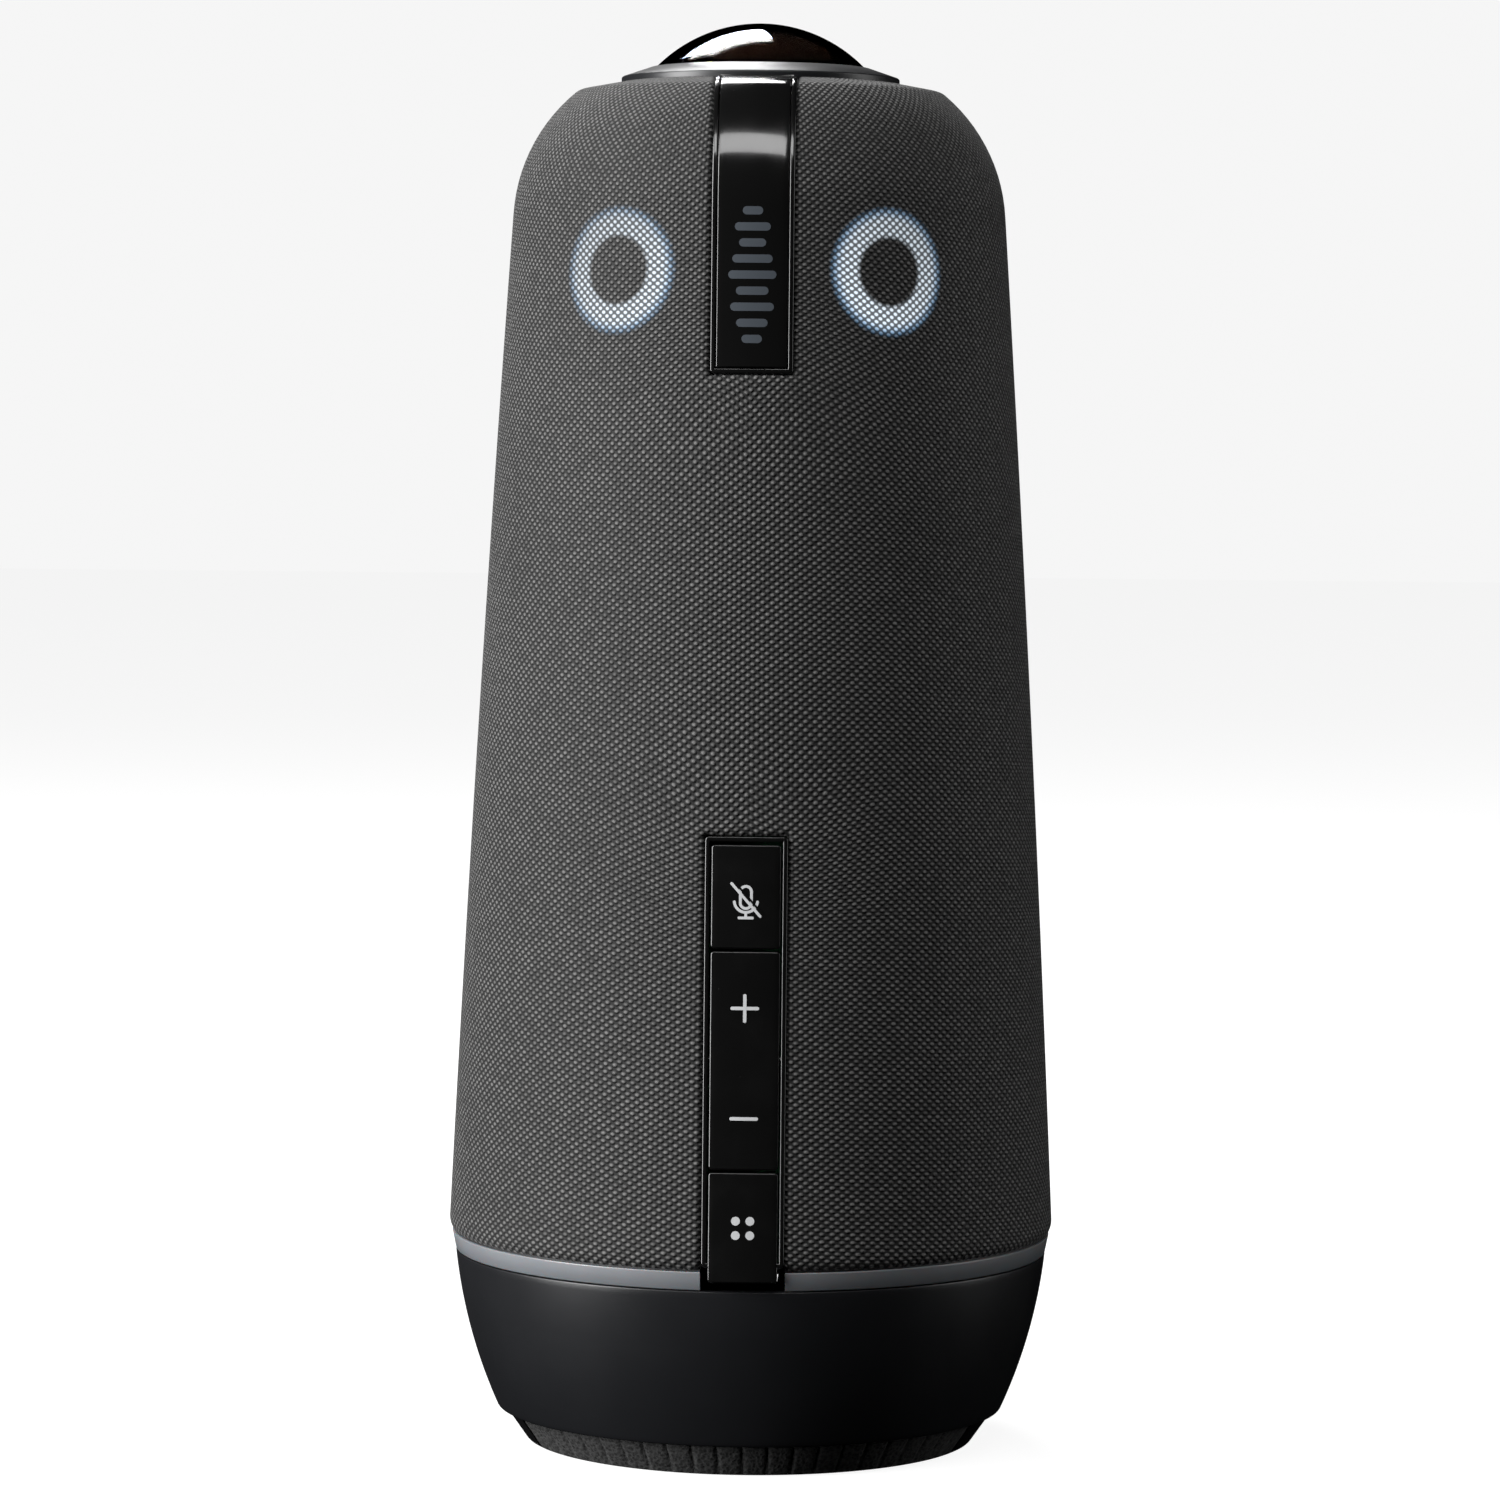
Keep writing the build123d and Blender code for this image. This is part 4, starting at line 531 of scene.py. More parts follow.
def foot_rubber():
    """Grainy rubber, lighter where the grains stand highest."""
    paint = Paint("foot_rubber", (0.02, 0.02, 0.021), 0.8)
    grains = paint.noise(1500, 5)
    crumbs = paint.node("TexVoronoi", "Distance", {"Vector": paint.coordinates, "Scale": 1400.0})
    height = paint.math("ADD", grains, paint.math("MULTIPLY", crumbs, 0.8))
    paint.put("Base Color", paint.mix(
        paint.between(height, 0.5, 1.15), grey(0.008), grey(0.05)
    ))
    paint.bump(height, 0.12 * MM)
    return paint.material


def cloth():
    """Woven cover: two offset grids of beads, each bead lighter towards its top, partly its own lighter
    thread and partly a painted highlight, with the ring lights shining through it.
    """
    paint = Paint("cloth", (0.05, 0.05, 0.05), 0.72, Sheen_Weight=0.12, Sheen_Roughness=0.4,
                  Specular_IOR_Level=0.35)
    weave = paint.node("UVMap", "UV", uv_map="weave")
    split = paint.tree.nodes.new("ShaderNodeSeparateXYZ")
    paint.feed(split.inputs[0], weave)
    wobble = paint.math("MULTIPLY_ADD", paint.noise(260, 2), 0.16, -0.08)
    u = paint.math("ADD", split.outputs["X"], wobble)
    v = paint.math("ADD", split.outputs["Y"], wobble)

    def bead(shift, lift):
        """Distance from the nearest bead's centre, as a share of its size, and its number; lift moves the
        centre up, which places a painted highlight.
        """
        across = paint.math("ADD", u, shift)
        up = paint.math("ADD", v, shift)
        x = paint.math("SUBTRACT", paint.math("FRACT", across), 0.5)
        y = paint.math("SUBTRACT", paint.math("FRACT", up), 0.5 + lift)
        far = paint.math("SQRT", paint.math(
            "ADD",
            paint.math("POWER", paint.math("DIVIDE", x, 0.38), 2),
            paint.math("POWER", paint.math("DIVIDE", y, 0.36), 2),
        ))
        cell = paint.node("CombineXYZ", "Vector", {
            "X": paint.math("FLOOR", across), "Y": paint.math("FLOOR", up), "Z": shift,
        })
        chance = paint.node("TexWhiteNoise", "Value", {"Vector": cell})
        return far, chance

    heights, bead_tone_and_painted_highlights = [], []
    for shift in (0.0, 0.5):
        far, chance = bead(shift, 0.0)
        heights.append(paint.between(far, 1.0, 0.15))
        # Centred 0.07 higher, this grid puts a painted highlight on each bead's upper part; with a random
        # tone per bead it lightens the beads, partly their own lighter thread.
        high, _ = bead(shift, 0.07)
        own = paint.math("MULTIPLY_ADD", chance, 0.7, 0.6)
        bead_tone_and_painted_highlights.append(paint.math("MULTIPLY", paint.between(high, 0.85, 0.2), own))
    height = paint.math("MAXIMUM", *heights)
    top = paint.math("MAXIMUM", *bead_tone_and_painted_highlights)
    fibres = paint.noise(5200, 3)
    patches = paint.between(paint.noise(28, 3), 0.25, 0.75, 0.86, 1.14)
    # Base colour: dark thread between the beads, and bead tops lighter partly from their thread colour and
    # partly from the painted highlight, with random patches and fibres.
    weave_tone_and_painted_highlight = paint.math("MULTIPLY", paint.math("MULTIPLY", top, patches),
                       paint.between(fibres, 0.25, 0.75, 0.75, 1.2))
    paint.put("Base Color", paint.mix(weave_tone_and_painted_highlight, grey(0.0085), grey(0.135, 0.015)))
    paint.bump(paint.math("MULTIPLY_ADD", fibres, 0.12, height), 0.28 * MM, 0.9)
    add_ring_lights(paint, height)
    return paint.material


def add_ring_lights(paint, height):
    """Two rings of cool light behind the weave, brightest low down and towards the middle."""
    split = paint.tree.nodes.new("ShaderNodeSeparateXYZ")
    paint.feed(split.inputs[0], paint.coordinates)
    x, y, z = split.outputs
    up = paint.math("SUBTRACT", z, EYE_Z)
    total = None
    for side in (-1, 1):
        azimuth = side * EYE_AZIMUTH
        across = paint.math("MULTIPLY_ADD", x, cos(azimuth), paint.math("MULTIPLY", y, sin(azimuth)))
        out = paint.math("MULTIPLY_ADD", x, sin(azimuth), paint.math("MULTIPLY", y, -cos(azimuth)))
        far = paint.math("SQRT", paint.math(
            "ADD", paint.math("POWER", across, 2), paint.math("POWER", up, 2)
        ))
        inside = paint.between(far, EYE_INNER_RADIUS - 0.5 * MM, EYE_INNER_RADIUS + 0.7 * MM)
        outside = paint.between(far, EYE_OUTER_RADIUS + 0.5 * MM, EYE_OUTER_RADIUS - 1.4 * MM)
        lean = paint.math("MULTIPLY_ADD", up, -16.0, paint.math("MULTIPLY_ADD", across, -12.0 * side, 0.8))
        ring = paint.math("MULTIPLY", paint.math("MULTIPLY", inside, outside), lean)
        ring = paint.math("MULTIPLY", ring, paint.math("GREATER_THAN", out, 0.0))
        colour = paint.mix(
            paint.between(far, EYE_OUTER_RADIUS - 2.6 * MM, EYE_OUTER_RADIUS + 0.2 * MM),
            (0.80, 0.90, 1.0, 1), (0.16, 0.36, 0.62, 1),
        )
        lit = paint.math("MULTIPLY", ring, paint.between(height, 0.0, 0.85, 0.13, 1.0))
        share = paint.mix(lit, (0, 0, 0, 1), colour)
        if total is None:
            total = share
        else:
            add = paint.tree.nodes.new("ShaderNodeVectorMath")
            paint.feed(add.inputs[0], total)
            paint.feed(add.inputs[1], share)
            total = add.outputs[0]
    paint.put("Emission Color", total)
    paint.put("Emission Strength", 1.15)


def lit_plastic():
    """White emitters and the diffusers in front of them."""
    paint = Paint("led_white", (0.8, 0.82, 0.85), 0.4, Emission_Strength=0.6)
    paint.put("Emission Color", paint.mix(paint.noise(300, 2), (0.7, 0.8, 1, 1), (0.9, 0.95, 1, 1)))
    return paint.material


def make_materials():
    """One material for each of the record's slots."""
    return {
        "satin_black": moulded("satin_black", (0.0105, 0.011, 0.0125), 0.36, 3800, 0.012 * MM),
        "gloss_black": gloss_black().material,
        "foot_rubber": foot_rubber(),
        "foot_plastic": moulded("foot_plastic", (0.008, 0.008, 0.009), 0.3, 900, 0.02 * MM),
        "brass_insert": metal("brass_insert", (0.62, 0.45, 0.18), 0.3),
        "screw_steel": metal("screw_steel", (0.45, 0.45, 0.46), 0.35),
        "inner_plastic": moulded("inner_plastic", (0.018, 0.018, 0.02), 0.55, 2200, 0.03 * MM),
        "board_green": circuit_board(),
        "led_white": lit_plastic(),
        "frosted": frosted(),
        "cloth": cloth(),
        "lens_glass": lens_glass(),
        "inner_glass": inner_glass(),
        "socket_steel": metal("socket_steel", (0.5, 0.5, 0.5), 0.28),
        "aluminium_sink": metal("aluminium_sink", (0.6, 0.61, 0.62), 0.4, (1, 30, 1)),
        "magnet_steel": metal("magnet_steel", (0.2, 0.2, 0.21), 0.45),
        "cone_paper": moulded("cone_paper", (0.03, 0.03, 0.03), 0.85, 1200, 0.08 * MM),
        "soft_rubber": moulded("soft_rubber", (0.02, 0.02, 0.02), 0.7, 1800, 0.03 * MM),
        "foam": moulded("foam", (0.015, 0.015, 0.016), 0.95, 1500, 0.2 * MM, 0.4),
        "key_black": key_black(),
        "ribbon": moulded("ribbon", (0.35, 0.16, 0.04), 0.35, 600, 0.02 * MM),
        "sensor_dark": moulded("sensor_dark", (0.012, 0.014, 0.02), 0.12, 3000, 0.005 * MM),
        "icon_print": printed("icon_print", (0.62, 0.63, 0.64)),
        "mark_print": printed("mark_print", (0.052, 0.062, 0.075)),
    }


def paint_cad_nodes():
    """Gives each CAD node the material of its slot."""
    slots = {}
    for entry in frame["record"]["materials"]:
        for node in entry.get("nodes", []):
            slots[node] = entry["slot"]
    for name, piece in frame["nodes"].items():
        for holder in piece.material_slots:
            base = holder.material.name.split(".")[0] if holder.material else ""
            chosen = base if base in MATERIALS else slots.get(name, "inner_plastic")
            holder.material = MATERIALS[chosen]


# ---------------------------------------------------------------- cloth sleeve
SLEEVE_BAND = STRIP_WIDTH / 2 + 0.1 * MM
SLEEVE_ROLL = 0.9 * MM
SLEEVE_TUCK = 1.6 * MM
SLEEVE_STEP = 2.0 * MM
SLEEVE_LIP = Vector((1.3, 2.3)) * MM


def sleeve_rings(openings):
    """Rings as (radius, height, normal, distance up the outline), from the lip to the cap."""
    rings = []
    join, normal = outline_at(SLEEVE_LIP.y)
    centre = Vector((join.x - SLEEVE_LIP.x, CLOTH_LOW + SLEEVE_LIP.y))
    for degree in (-90, -75, -60, -45, -30, -15):
        angle = radians(degree)
        point = centre + Vector((SLEEVE_LIP.x * cos(angle), SLEEVE_LIP.y * sin(angle)))
        rings.append((point, Vector((cos(angle), sin(angle))), point.y - CLOTH_LOW))
    stops = {SLEEVE_LIP.y, OUTLINE_LENGTH}
    for low, high in openings:
        stops.update(high + step for step in EDGE_STEPS if high < OUTLINE_LENGTH)
        stops.update(low - step for step in EDGE_STEPS if low > SLEEVE_LIP.y)
    corner = OUTLINE_LENGTH - OUTLINE[-1][0] - OUTLINE[-2][0]
    stops.update(corner + OUTLINE[-2][0] * n / 5 for n in range(6))
    stops = sorted(stops)
    for low, high in zip(stops, stops[1:]):
        for s in spread(low, high, SLEEVE_STEP):
            point, normal = outline_at(s)
            rings.append((point, normal, s))
    point, normal = outline_at(OUTLINE_LENGTH)
    return rings + [(point, normal, OUTLINE_LENGTH)]


def edge_dip(x, s, openings):
    """How far the cloth rolls in beside an opening."""
    nearest = SLEEVE_ROLL
    for low, high in openings:
        gap = hypot(max(abs(x) - SLEEVE_BAND, 0), max(low - s, s - high, 0))
        nearest = min(nearest, gap)
    across = 1 - nearest / SLEEVE_ROLL
    return -SLEEVE_ROLL * (1 - sqrt(max(0.0, 1 - across**2)))


PULL_CLEAR = 10 * MM     # an opening that ends nearer to the sheet's edge pulls nothing
PULL_ACROSS = 14 * MM
PULL_ALONG = 16 * MM
PULL_ROWS = 2.4


def weave_pull(x, s, openings):
    """How far the rows are pulled out of level round the ends of the openings, in rows."""
    pull = 0.0
    for low, high in openings:
        for end, sense in ((low, -1), (high, 1)):
            if not PULL_CLEAR < end < OUTLINE_LENGTH - PULL_CLEAR:
                continue
            beside = (abs(x) - SLEEVE_BAND) / PULL_ACROSS
            above = (s - end) / PULL_ALONG
            pull += sense * PULL_ROWS * 2.718 ** (-(beside**2) - above**2)
    return pull


def fabric_cover():
    """One sheet round the body, rolled in at its lip, at the cap and beside both strips."""
    keys_top = up_to(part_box("mute_key")[1].z + KEY_END_GAP + STRIP_WALL) + SEAM
    openings = [(-1.0, keys_top), (up_to(TOP_STRIP_LOW) - SEAM, OUTLINE_LENGTH + 1.0)]
    reference = 52 * MM
    columns = banded_columns(SLEEVE_BAND, reference, SLEEVE_STEP)
    rings = sleeve_rings(openings)
    band = asin(SLEEVE_BAND / reference) + 1e-6
    points, grid = [], []
    for point, normal, s in rings:
        angles = [banded_angle(t, point.x, SLEEVE_BAND, reference) for t in columns]
        grid.append(angles)
        for angle in angles[:-1]:
            x = point.x * sin(angle)
            front = abs(angle) < pi / 2
            place = point + normal * (edge_dip(x, s, openings) if front else 0.0)
            points.append(Vector((place.x * sin(angle), -place.x * cos(angle), place.y)))
    count = len(columns) - 1
    faces, corners = [], []
    for i in range(len(rings) - 1):
        middle = (rings[i][2] + rings[i + 1][2]) / 2
        for j in range(count):
            t = (columns[j] + columns[j + 1]) / 2
            if abs(t) < band and any(low < middle < high for low, high in openings):
                continue
            k = (j + 1) % count
            faces.append((i * count + j, i * count + k, (i + 1) * count + k, (i + 1) * count + j))
            corners += [(i, j), (i, j + 1), (i + 1, j + 1), (i + 1, j)]
    woven = len(faces)
    tuck_edges(points, faces, lambda point: towards_axis(point, SLEEVE_TUCK))
    piece = new_object("fabric_cover", points, faces, MATERIALS["cloth"], 70)
    layer = piece.data.uv_layers.new(name="weave")
    for n, (i, j) in enumerate(corners):
        angle, s = grid[i][j], rings[i][2]
        x = rings[i][0].x * sin(angle)
        pull = weave_pull(x, s, openings) if abs(angle) < pi / 2 else 0.0
        turn = angle / (2 * pi)
        layer.data[n].uv = (WEAVE_COLUMNS * turn, s / WEAVE_ROW + WEAVE_TURNS * turn + pull)
    for n in range(len(corners), len(layer.data)):
        layer.data[n].uv = (0.0, 0.0)
    finished(piece, "body", "cloth", "fabric_sleeve")
    area = sum(face.area for face in piece.data.polygons[:woven])
    print("cloth area, square metres:", round(area, 5))


# ---------------------------------------------------------------- front strips
CORNER_STEPS = 5
STRIP_STEP = 2 * MM


def loop(width, low, high, corner, inset):
    """Points (x, s) round a rectangle with rounded corners, moved in by inset, as mirrored pairs."""
    half, low, high = width / 2 - inset, low + inset, high - inset
    radius = max(corner - inset, 0.04 * MM)
    quarter = evenly(0, pi / 2, CORNER_STEPS)
    side = [(half - radius + radius * sin(a), low + radius - radius * cos(a)) for a in quarter]
    side += [(half, s) for s in spread(low + radius, high - radius, STRIP_STEP)[1:]]
    return side + [(half - radius + radius * cos(a), high - radius + radius * sin(a)) for a in quarter]


def tile(name, material, width, low, high, corner, steps):
    """Closed piece that follows the body's front. steps are (inset, offset) pairs that go round
    its edge from the back to the face."""
    count = len(loop(width, low, high, corner, 0))
    points, faces = [], []
    for inset, offset in steps:
        side = loop(width, low, high, corner, inset)[:count]
        both = side + [(-x, s) for x, s in reversed(side)]
        points += [on_strip(x, s, offset) for x, s in both]
    around = 2 * count
    for row in range(len(steps) - 1):
        faces += ring_faces(row * around, (row + 1) * around, around)
    faces += cross_faces(points, (len(steps) - 1) * around, side, steps[-1][1])
    faces.append(tuple(reversed(range(around))))
    return new_object(name, points, faces, material, 50)


FACE_COLUMNS = 12


def cross_faces(points, top, side, offset):
    """Fills a loop, whose points start at top, with quads that follow the surface between its sides."""
    faces = []
    rows = []
    for n, (x, s) in enumerate(side):
        right, left = top + n, top + 2 * len(side) - 1 - n
        row = [right]
        for m in range(1, FACE_COLUMNS):
            row.append(len(points))
            points.append(on_strip(x * (1 - 2 * m / FACE_COLUMNS), s, offset))
        rows.append(row + [left])
    for lower, upper in zip(rows, rows[1:]):
        for n in range(FACE_COLUMNS):
            faces.append((lower[n + 1], lower[n], upper[n], upper[n + 1]))
    return faces + [tuple(rows[0]), tuple(reversed(rows[-1]))]


def rim(name, material, width, low, high, corner, steps):
    """Closed frame that follows the body's front. steps go right round its section."""
    count = 2 * len(loop(width, low, high, corner, 0))
    points, faces = [], []
    for inset, offset in steps:
        side = loop(width, low, high, corner, inset)
        both = side + [(-x, s) for x, s in reversed(side)]
        points += [on_strip(x, s, offset) for x, s in both]
    for row in range(len(steps)):
        faces += ring_faces(row * count, (row + 1) % len(steps) * count, count)
    return new_object(name, points, faces, material, 50)


EDGE_ROUND_STEPS = 4


def edge_round(radius, face):
    """(inset, offset) pairs of a rounded edge that ends on a face."""
    quarter = evenly(0, pi / 2, EDGE_ROUND_STEPS)
    return [(radius * (1 - cos(a)), face - radius * (1 - sin(a))) for a in quarter]


def frame_section(wall, face, depth, radius):
    """Section of a strip's frame: up the outside, over a rounded rim and down the inside."""
    outside = edge_round(radius, face)
    inside = [(wall - inset, offset) for inset, offset in reversed(outside)]
    return [(0, -depth)] + outside + inside + [(wall, -depth)]


def key_strip():
    low = KEY_STRIP_LOW - CLOTH_LOW
    high = up_to(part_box("mute_key")[1].z + KEY_END_GAP + STRIP_WALL)
    section = frame_section(STRIP_WALL, STRIP_PROUD, 2.2 * MM, 0.25 * MM)
    piece = rim("key_strip_frame", MATERIALS["gloss_black"], STRIP_WIDTH, low, high, STRIP_CORNER, section)
    finished(piece, "body", "gloss_black", "key_frame")
    for node in ("action_key", "volume_key", "mute_key"):
        corner_low, corner_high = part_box(node)
        bottom = up_to(corner_low.z) if corner_low.z > CLOTH_LOW else corner_low.z - CLOTH_LOW
        top = up_to(corner_high.z)
        steps = [(0, STRIP_PROUD - 2.3 * MM)] + edge_round(0.28 * MM, STRIP_PROUD)
        key = tile(node + "_cap", MATERIALS["key_black"], KEY_WIDTH, bottom, top, 0.6 * MM, steps)
        finished(key, node, "key_black", node)


def top_strip():
    """Frame and plate of the upper strip, which runs over the shoulder to the cap."""
    low, high = up_to(TOP_STRIP_LOW), OUTLINE_LENGTH
    section = frame_section(STRIP_WALL, STRIP_PROUD, 1.5 * MM, 0.25 * MM)
    piece = rim("upper_strip_frame", MATERIALS["gloss_black"], STRIP_WIDTH, low, high, STRIP_CORNER, section)
    finished(piece, "body", "gloss_black", "top_strip_frame")
    gap = 0.15 * MM
    inset = STRIP_WALL + gap
    face = STRIP_PROUD - PLATE_SUNK
    steps = [(0, face - 1.0 * MM)] + edge_round(0.22 * MM, face)
    plate = tile("upper_strip_plate", MATERIALS["gloss_black"], STRIP_WIDTH - 2 * inset,
                 low + inset, high - inset, 0.35 * MM, steps)
    finished(plate, "body", "gloss_black", "top_plate")


# ---------------------------------------------------------------- print on the keys and the plate
PRINT_LIFT = 0.03 * MM
CIRCLE_STEPS = 16
DISC_SIDES = 24


def fine_steps(path, step=0.5 * MM):
    """The same path with more points, so that a print follows the curved key."""
    path = [Vector(p) for p in path]
    fine = [path[0]]
    for start, end in zip(path, path[1:]):
        count = max(1, round((end - start).length / step))
        fine += [start.lerp(end, n / count) for n in range(1, count + 1)]
    return fine


def side_pairs(path, width, closed):
    """Points either side of a path."""
    pairs = []
    last = len(path) - 1
    for n, here in enumerate(path):
        before = path[n - 1] if n or closed else here
        after = path[(n + 1) % len(path)] if n < last or closed else here
        along = (after - before).normalized()
        side = Vector((-along.y, along.x)) * width / 2
        pairs.append((here + side, here - side))
    return pairs


def round_end(inner, outer, width, steps=5):
    """Pairs that close a stroke's start as a half round, from its tip towards the path."""
    away = (outer - inner).normalized()
    side = Vector((away.y, -away.x)) * width / 2
    pairs = []
    for n in range(steps):
        angle = pi / 2 * (1 - n / steps)
        tip = outer + away * (width / 2 * sin(angle))
        pairs.append((tip + side * cos(angle), tip - side * cos(angle)))
    return pairs


def stroke(path, width, centre, offset, closed=False):
    """Points and faces of a ribbon of constant width with round ends, lying on the strip."""
    path = fine_steps(path)
    if closed and (path[0] - path[-1]).length < PRINT_LIFT:
        path.pop()
    pairs = side_pairs(path, width, closed)
    if not closed:
        start = round_end(path[1], path[0], width)
        end = [pair[::-1] for pair in round_end(path[-2], path[-1], width)]
        pairs = start + pairs + end[::-1]
    points = [
        on_strip(centre[0] + point.x, centre[1] + point.y, offset)
        for pair in pairs for point in pair
    ]
    count = len(pairs)
    faces = []
    for n in range(count if closed else count - 1):
        a, b = 2 * n, 2 * ((n + 1) % count)
        faces.append((a, a + 1, b + 1, b))
    return points, faces


def print_piece(name, body, material, slot, strokes):
    piece = new_object(name, *joined(strokes), MATERIALS[material], smooth=False)
    return finished(piece, body, slot)


def circle_path(centre, radius, start, end):
    angles = evenly(start, end, CIRCLE_STEPS)
    return [(centre[0] + radius * cos(a), centre[1] + radius * sin(a)) for a in angles]


def disc_on_key(centre, radius, offset):
    points = [on_strip(*centre, offset)]
    for n in range(DISC_SIDES):
        angle = 2 * pi * n / DISC_SIDES
        points.append(on_strip(centre[0] + radius * cos(angle), centre[1] + radius * sin(angle), offset))
    faces = [(0, 1 + n, 1 + (n + 1) % DISC_SIDES) for n in range(DISC_SIDES)]
    return points, faces


def key_middle(node):
    low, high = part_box(node)
    return up_to((low.z + high.z) / 2)


def key_icons():
    """Crossed-out microphone, plus, minus and four dots."""
    lift = STRIP_PROUD + PRINT_LIFT
    line = 0.62 * MM
    arm = 2.6 * MM
    plus = (0, up_to(87.5 * MM))
    minus = (0, up_to(67.6 * MM))
    across = [(-arm + line / 2, 0), (arm - line / 2, 0)]
    upright = [(0, -arm + line / 2), (0, arm - line / 2)]
    print_piece("volume_marks", "volume_key", "icon_print", "key_black", [
        stroke(across, line, plus, lift),
        stroke(upright, line, plus, lift + PRINT_LIFT / 2),
        stroke(across, line, minus, lift),
    ])
    spacing = 1.3 * MM
    dots = key_middle("action_key")
    print_piece("four_dots", "action_key", "icon_print", "key_black", [
        disc_on_key((x, dots + y), 0.8 * MM, lift)
        for x in (-spacing, spacing) for y in (-spacing, spacing)
    ])
    microphone_icon(lift)


def microphone_icon(lift):
    centre = (0, up_to(106.9 * MM))
    line = 0.5 * MM
    half, rise = 1.0 * MM, 1.0 * MM
    middle = 0.6 * MM
    capsule = circle_path((0, middle + rise), half, 0, pi)
    capsule += circle_path((0, middle - rise), half, pi, 2 * pi)
    capsule.append(capsule[0])
    cradle_radius, cradle_end = 2.1 * MM, 0.1
    cradle = circle_path((0, 0.0), cradle_radius, -pi + cradle_end, -cradle_end)
    stem = [(0, -cradle_radius), (0, -3.0 * MM)]
    foot = [(-1.2 * MM, -3.1 * MM), (1.2 * MM, -3.1 * MM)]
    slash = [(-2.6 * MM, 3.1 * MM), (2.6 * MM, -2.8 * MM)]
    shift = 0.42 * MM
    halo = [(x + shift, y + shift) for x, y in slash]
    print_piece("mute_mark", "mute_key", "icon_print", "key_black", [
        stroke(capsule, line, centre, lift, closed=True),
        stroke(cradle, line, centre, lift),
        stroke(stem, line, centre, lift + PRINT_LIFT / 4),
        stroke(foot, line, centre, lift + PRINT_LIFT / 2),
        stroke(slash, line, centre, lift + 1.5 * PRINT_LIFT),
    ])
    print_piece("mute_mark_gap", "mute_key", "key_black", "key_black", [
        stroke(halo, 0.36 * MM, centre, lift + PRINT_LIFT),
    ])


def level_mark():
    """Generic sound-level mark: a column of rounded bars of different widths."""
    lift = STRIP_PROUD - PLATE_SUNK + PRINT_LIFT
    bar, pitch = 1.5 * MM, 2.9 * MM
    halves = [1.1, 2.1, 3.2, 2.2, 3.6, 2.9, 1.7, 2.5, 1.1]
    start = up_to(219.6 * MM) - pitch * (len(halves) - 1) / 2
    print_piece("level_bars", "body", "mark_print", "gloss_black", [
        stroke([(-half * MM, 0), (half * MM, 0)], bar, (0, start + n * pitch), lift)
        for n, half in enumerate(halves)
    ])


# ---------------------------------------------------------------- cap and lens
def arc_points(centre_z, radius, from_r, to_r, steps):
    """Points on a sphere's outline above its centre, evenly spaced in angle."""
    angles = evenly(asin(from_r / radius), asin(to_r / radius), steps)
    return [(radius * sin(a), centre_z + radius * cos(a)) for a in angles]


TINY = 0.01 * MM


def lens_pieces():
    dome_centre = CROWN_Z - LENS_DOME_RADIUS
    rim_z = dome_centre + sqrt(LENS_DOME_RADIUS**2 - LENS_RADIUS**2)
    height = CROWN_Z - LENS_CROWN - rim_z
    inner_sphere = (LENS_INNER_RADIUS**2 + height**2) / (2 * height)
    inner_centre = CROWN_Z - LENS_CROWN - inner_sphere
    outer = arc_points(dome_centre, LENS_DOME_RADIUS, TINY, LENS_RADIUS, 36)
    inner = arc_points(inner_centre, inner_sphere, LENS_INNER_RADIUS, TINY, 36)
    outline = outer + [(LENS_RADIUS, LENS_LOW), (LENS_INNER_RADIUS, LENS_LOW)] + inner
    points, faces = lathe(outline, 128)
    dome = new_object("dome_glass", points, [face[::-1] for face in faces], MATERIALS["lens_glass"])
    finished(dome, "body", "lens_glass", "lens_dome")
    second_lens(inner_sphere, inner_centre)


def second_lens(sphere, centre_z):
    """Domed element close under the outer glass, and the rear group below it."""
    gap = 0.4 * MM
    radius = LENS_INNER_RADIUS - gap
    foot = LENS_LOW - 4 * MM
    outline = arc_points(centre_z, sphere - gap, TINY, radius, 30)
    rear_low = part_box("inner_lenses")[0].z
    outline += [(radius, foot), (REAR_LENS_RADIUS, foot), (REAR_LENS_RADIUS, rear_low), (TINY, rear_low)]
    points, faces = lathe(outline, 96)
    piece = new_object("second_lens", points, [face[::-1] for face in faces], MATERIALS["inner_glass"])
    finished(piece, "body", "inner_glass", "inner_lenses")


def cap():
    """Conical bezel with its upright edge, and the spigot inside the body."""
    bore = LENS_RADIUS + 0.8 * MM
    spigot_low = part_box("top_cap")[0].z
    under = CAP_HIGH - 4 * MM
    outline = rounded([
        (SPIGOT_RADIUS, spigot_low),
        (SPIGOT_RADIUS, under),
        (CAP_RADIUS, under),
        (CAP_RADIUS, TOP_FACE_Z + CAP_EDGE),
        (bore, CAP_HIGH),
        (bore, spigot_low),
        (SPIGOT_RADIUS, spigot_low),
    ], 0.3 * MM)
    points, faces = lathe(outline, 160)
    piece = new_object("cap_bezel", points, faces, MATERIALS["satin_black"], 60)
    finished(piece, "body", "satin_black", "top_cap")


# ---------------------------------------------------------------- base
SHELL_STEPS = 24


def shell_outline():
    """Outer arc of the base shell from its lower edge up."""
    low, high = Vector((SHELL_LOW_RADIUS, SHELL_LOW)), Vector((SHELL_TOP_RADIUS, SHELL_HIGH))
    half = (high - low).length / 2
    radius = (half**2 + SHELL_BULGE**2) / (2 * SHELL_BULGE)
    along = (high - low).normalized()
    centre = (low + high) / 2 - Vector((along.y, -along.x)) * (radius - SHELL_BULGE)
    start = atan2(low.y - centre.y, low.x - centre.x)
    end = atan2(high.y - centre.y, high.x - centre.x)
    return [centre + Vector((cos(a), sin(a))) * radius for a in evenly(start, end, SHELL_STEPS)]


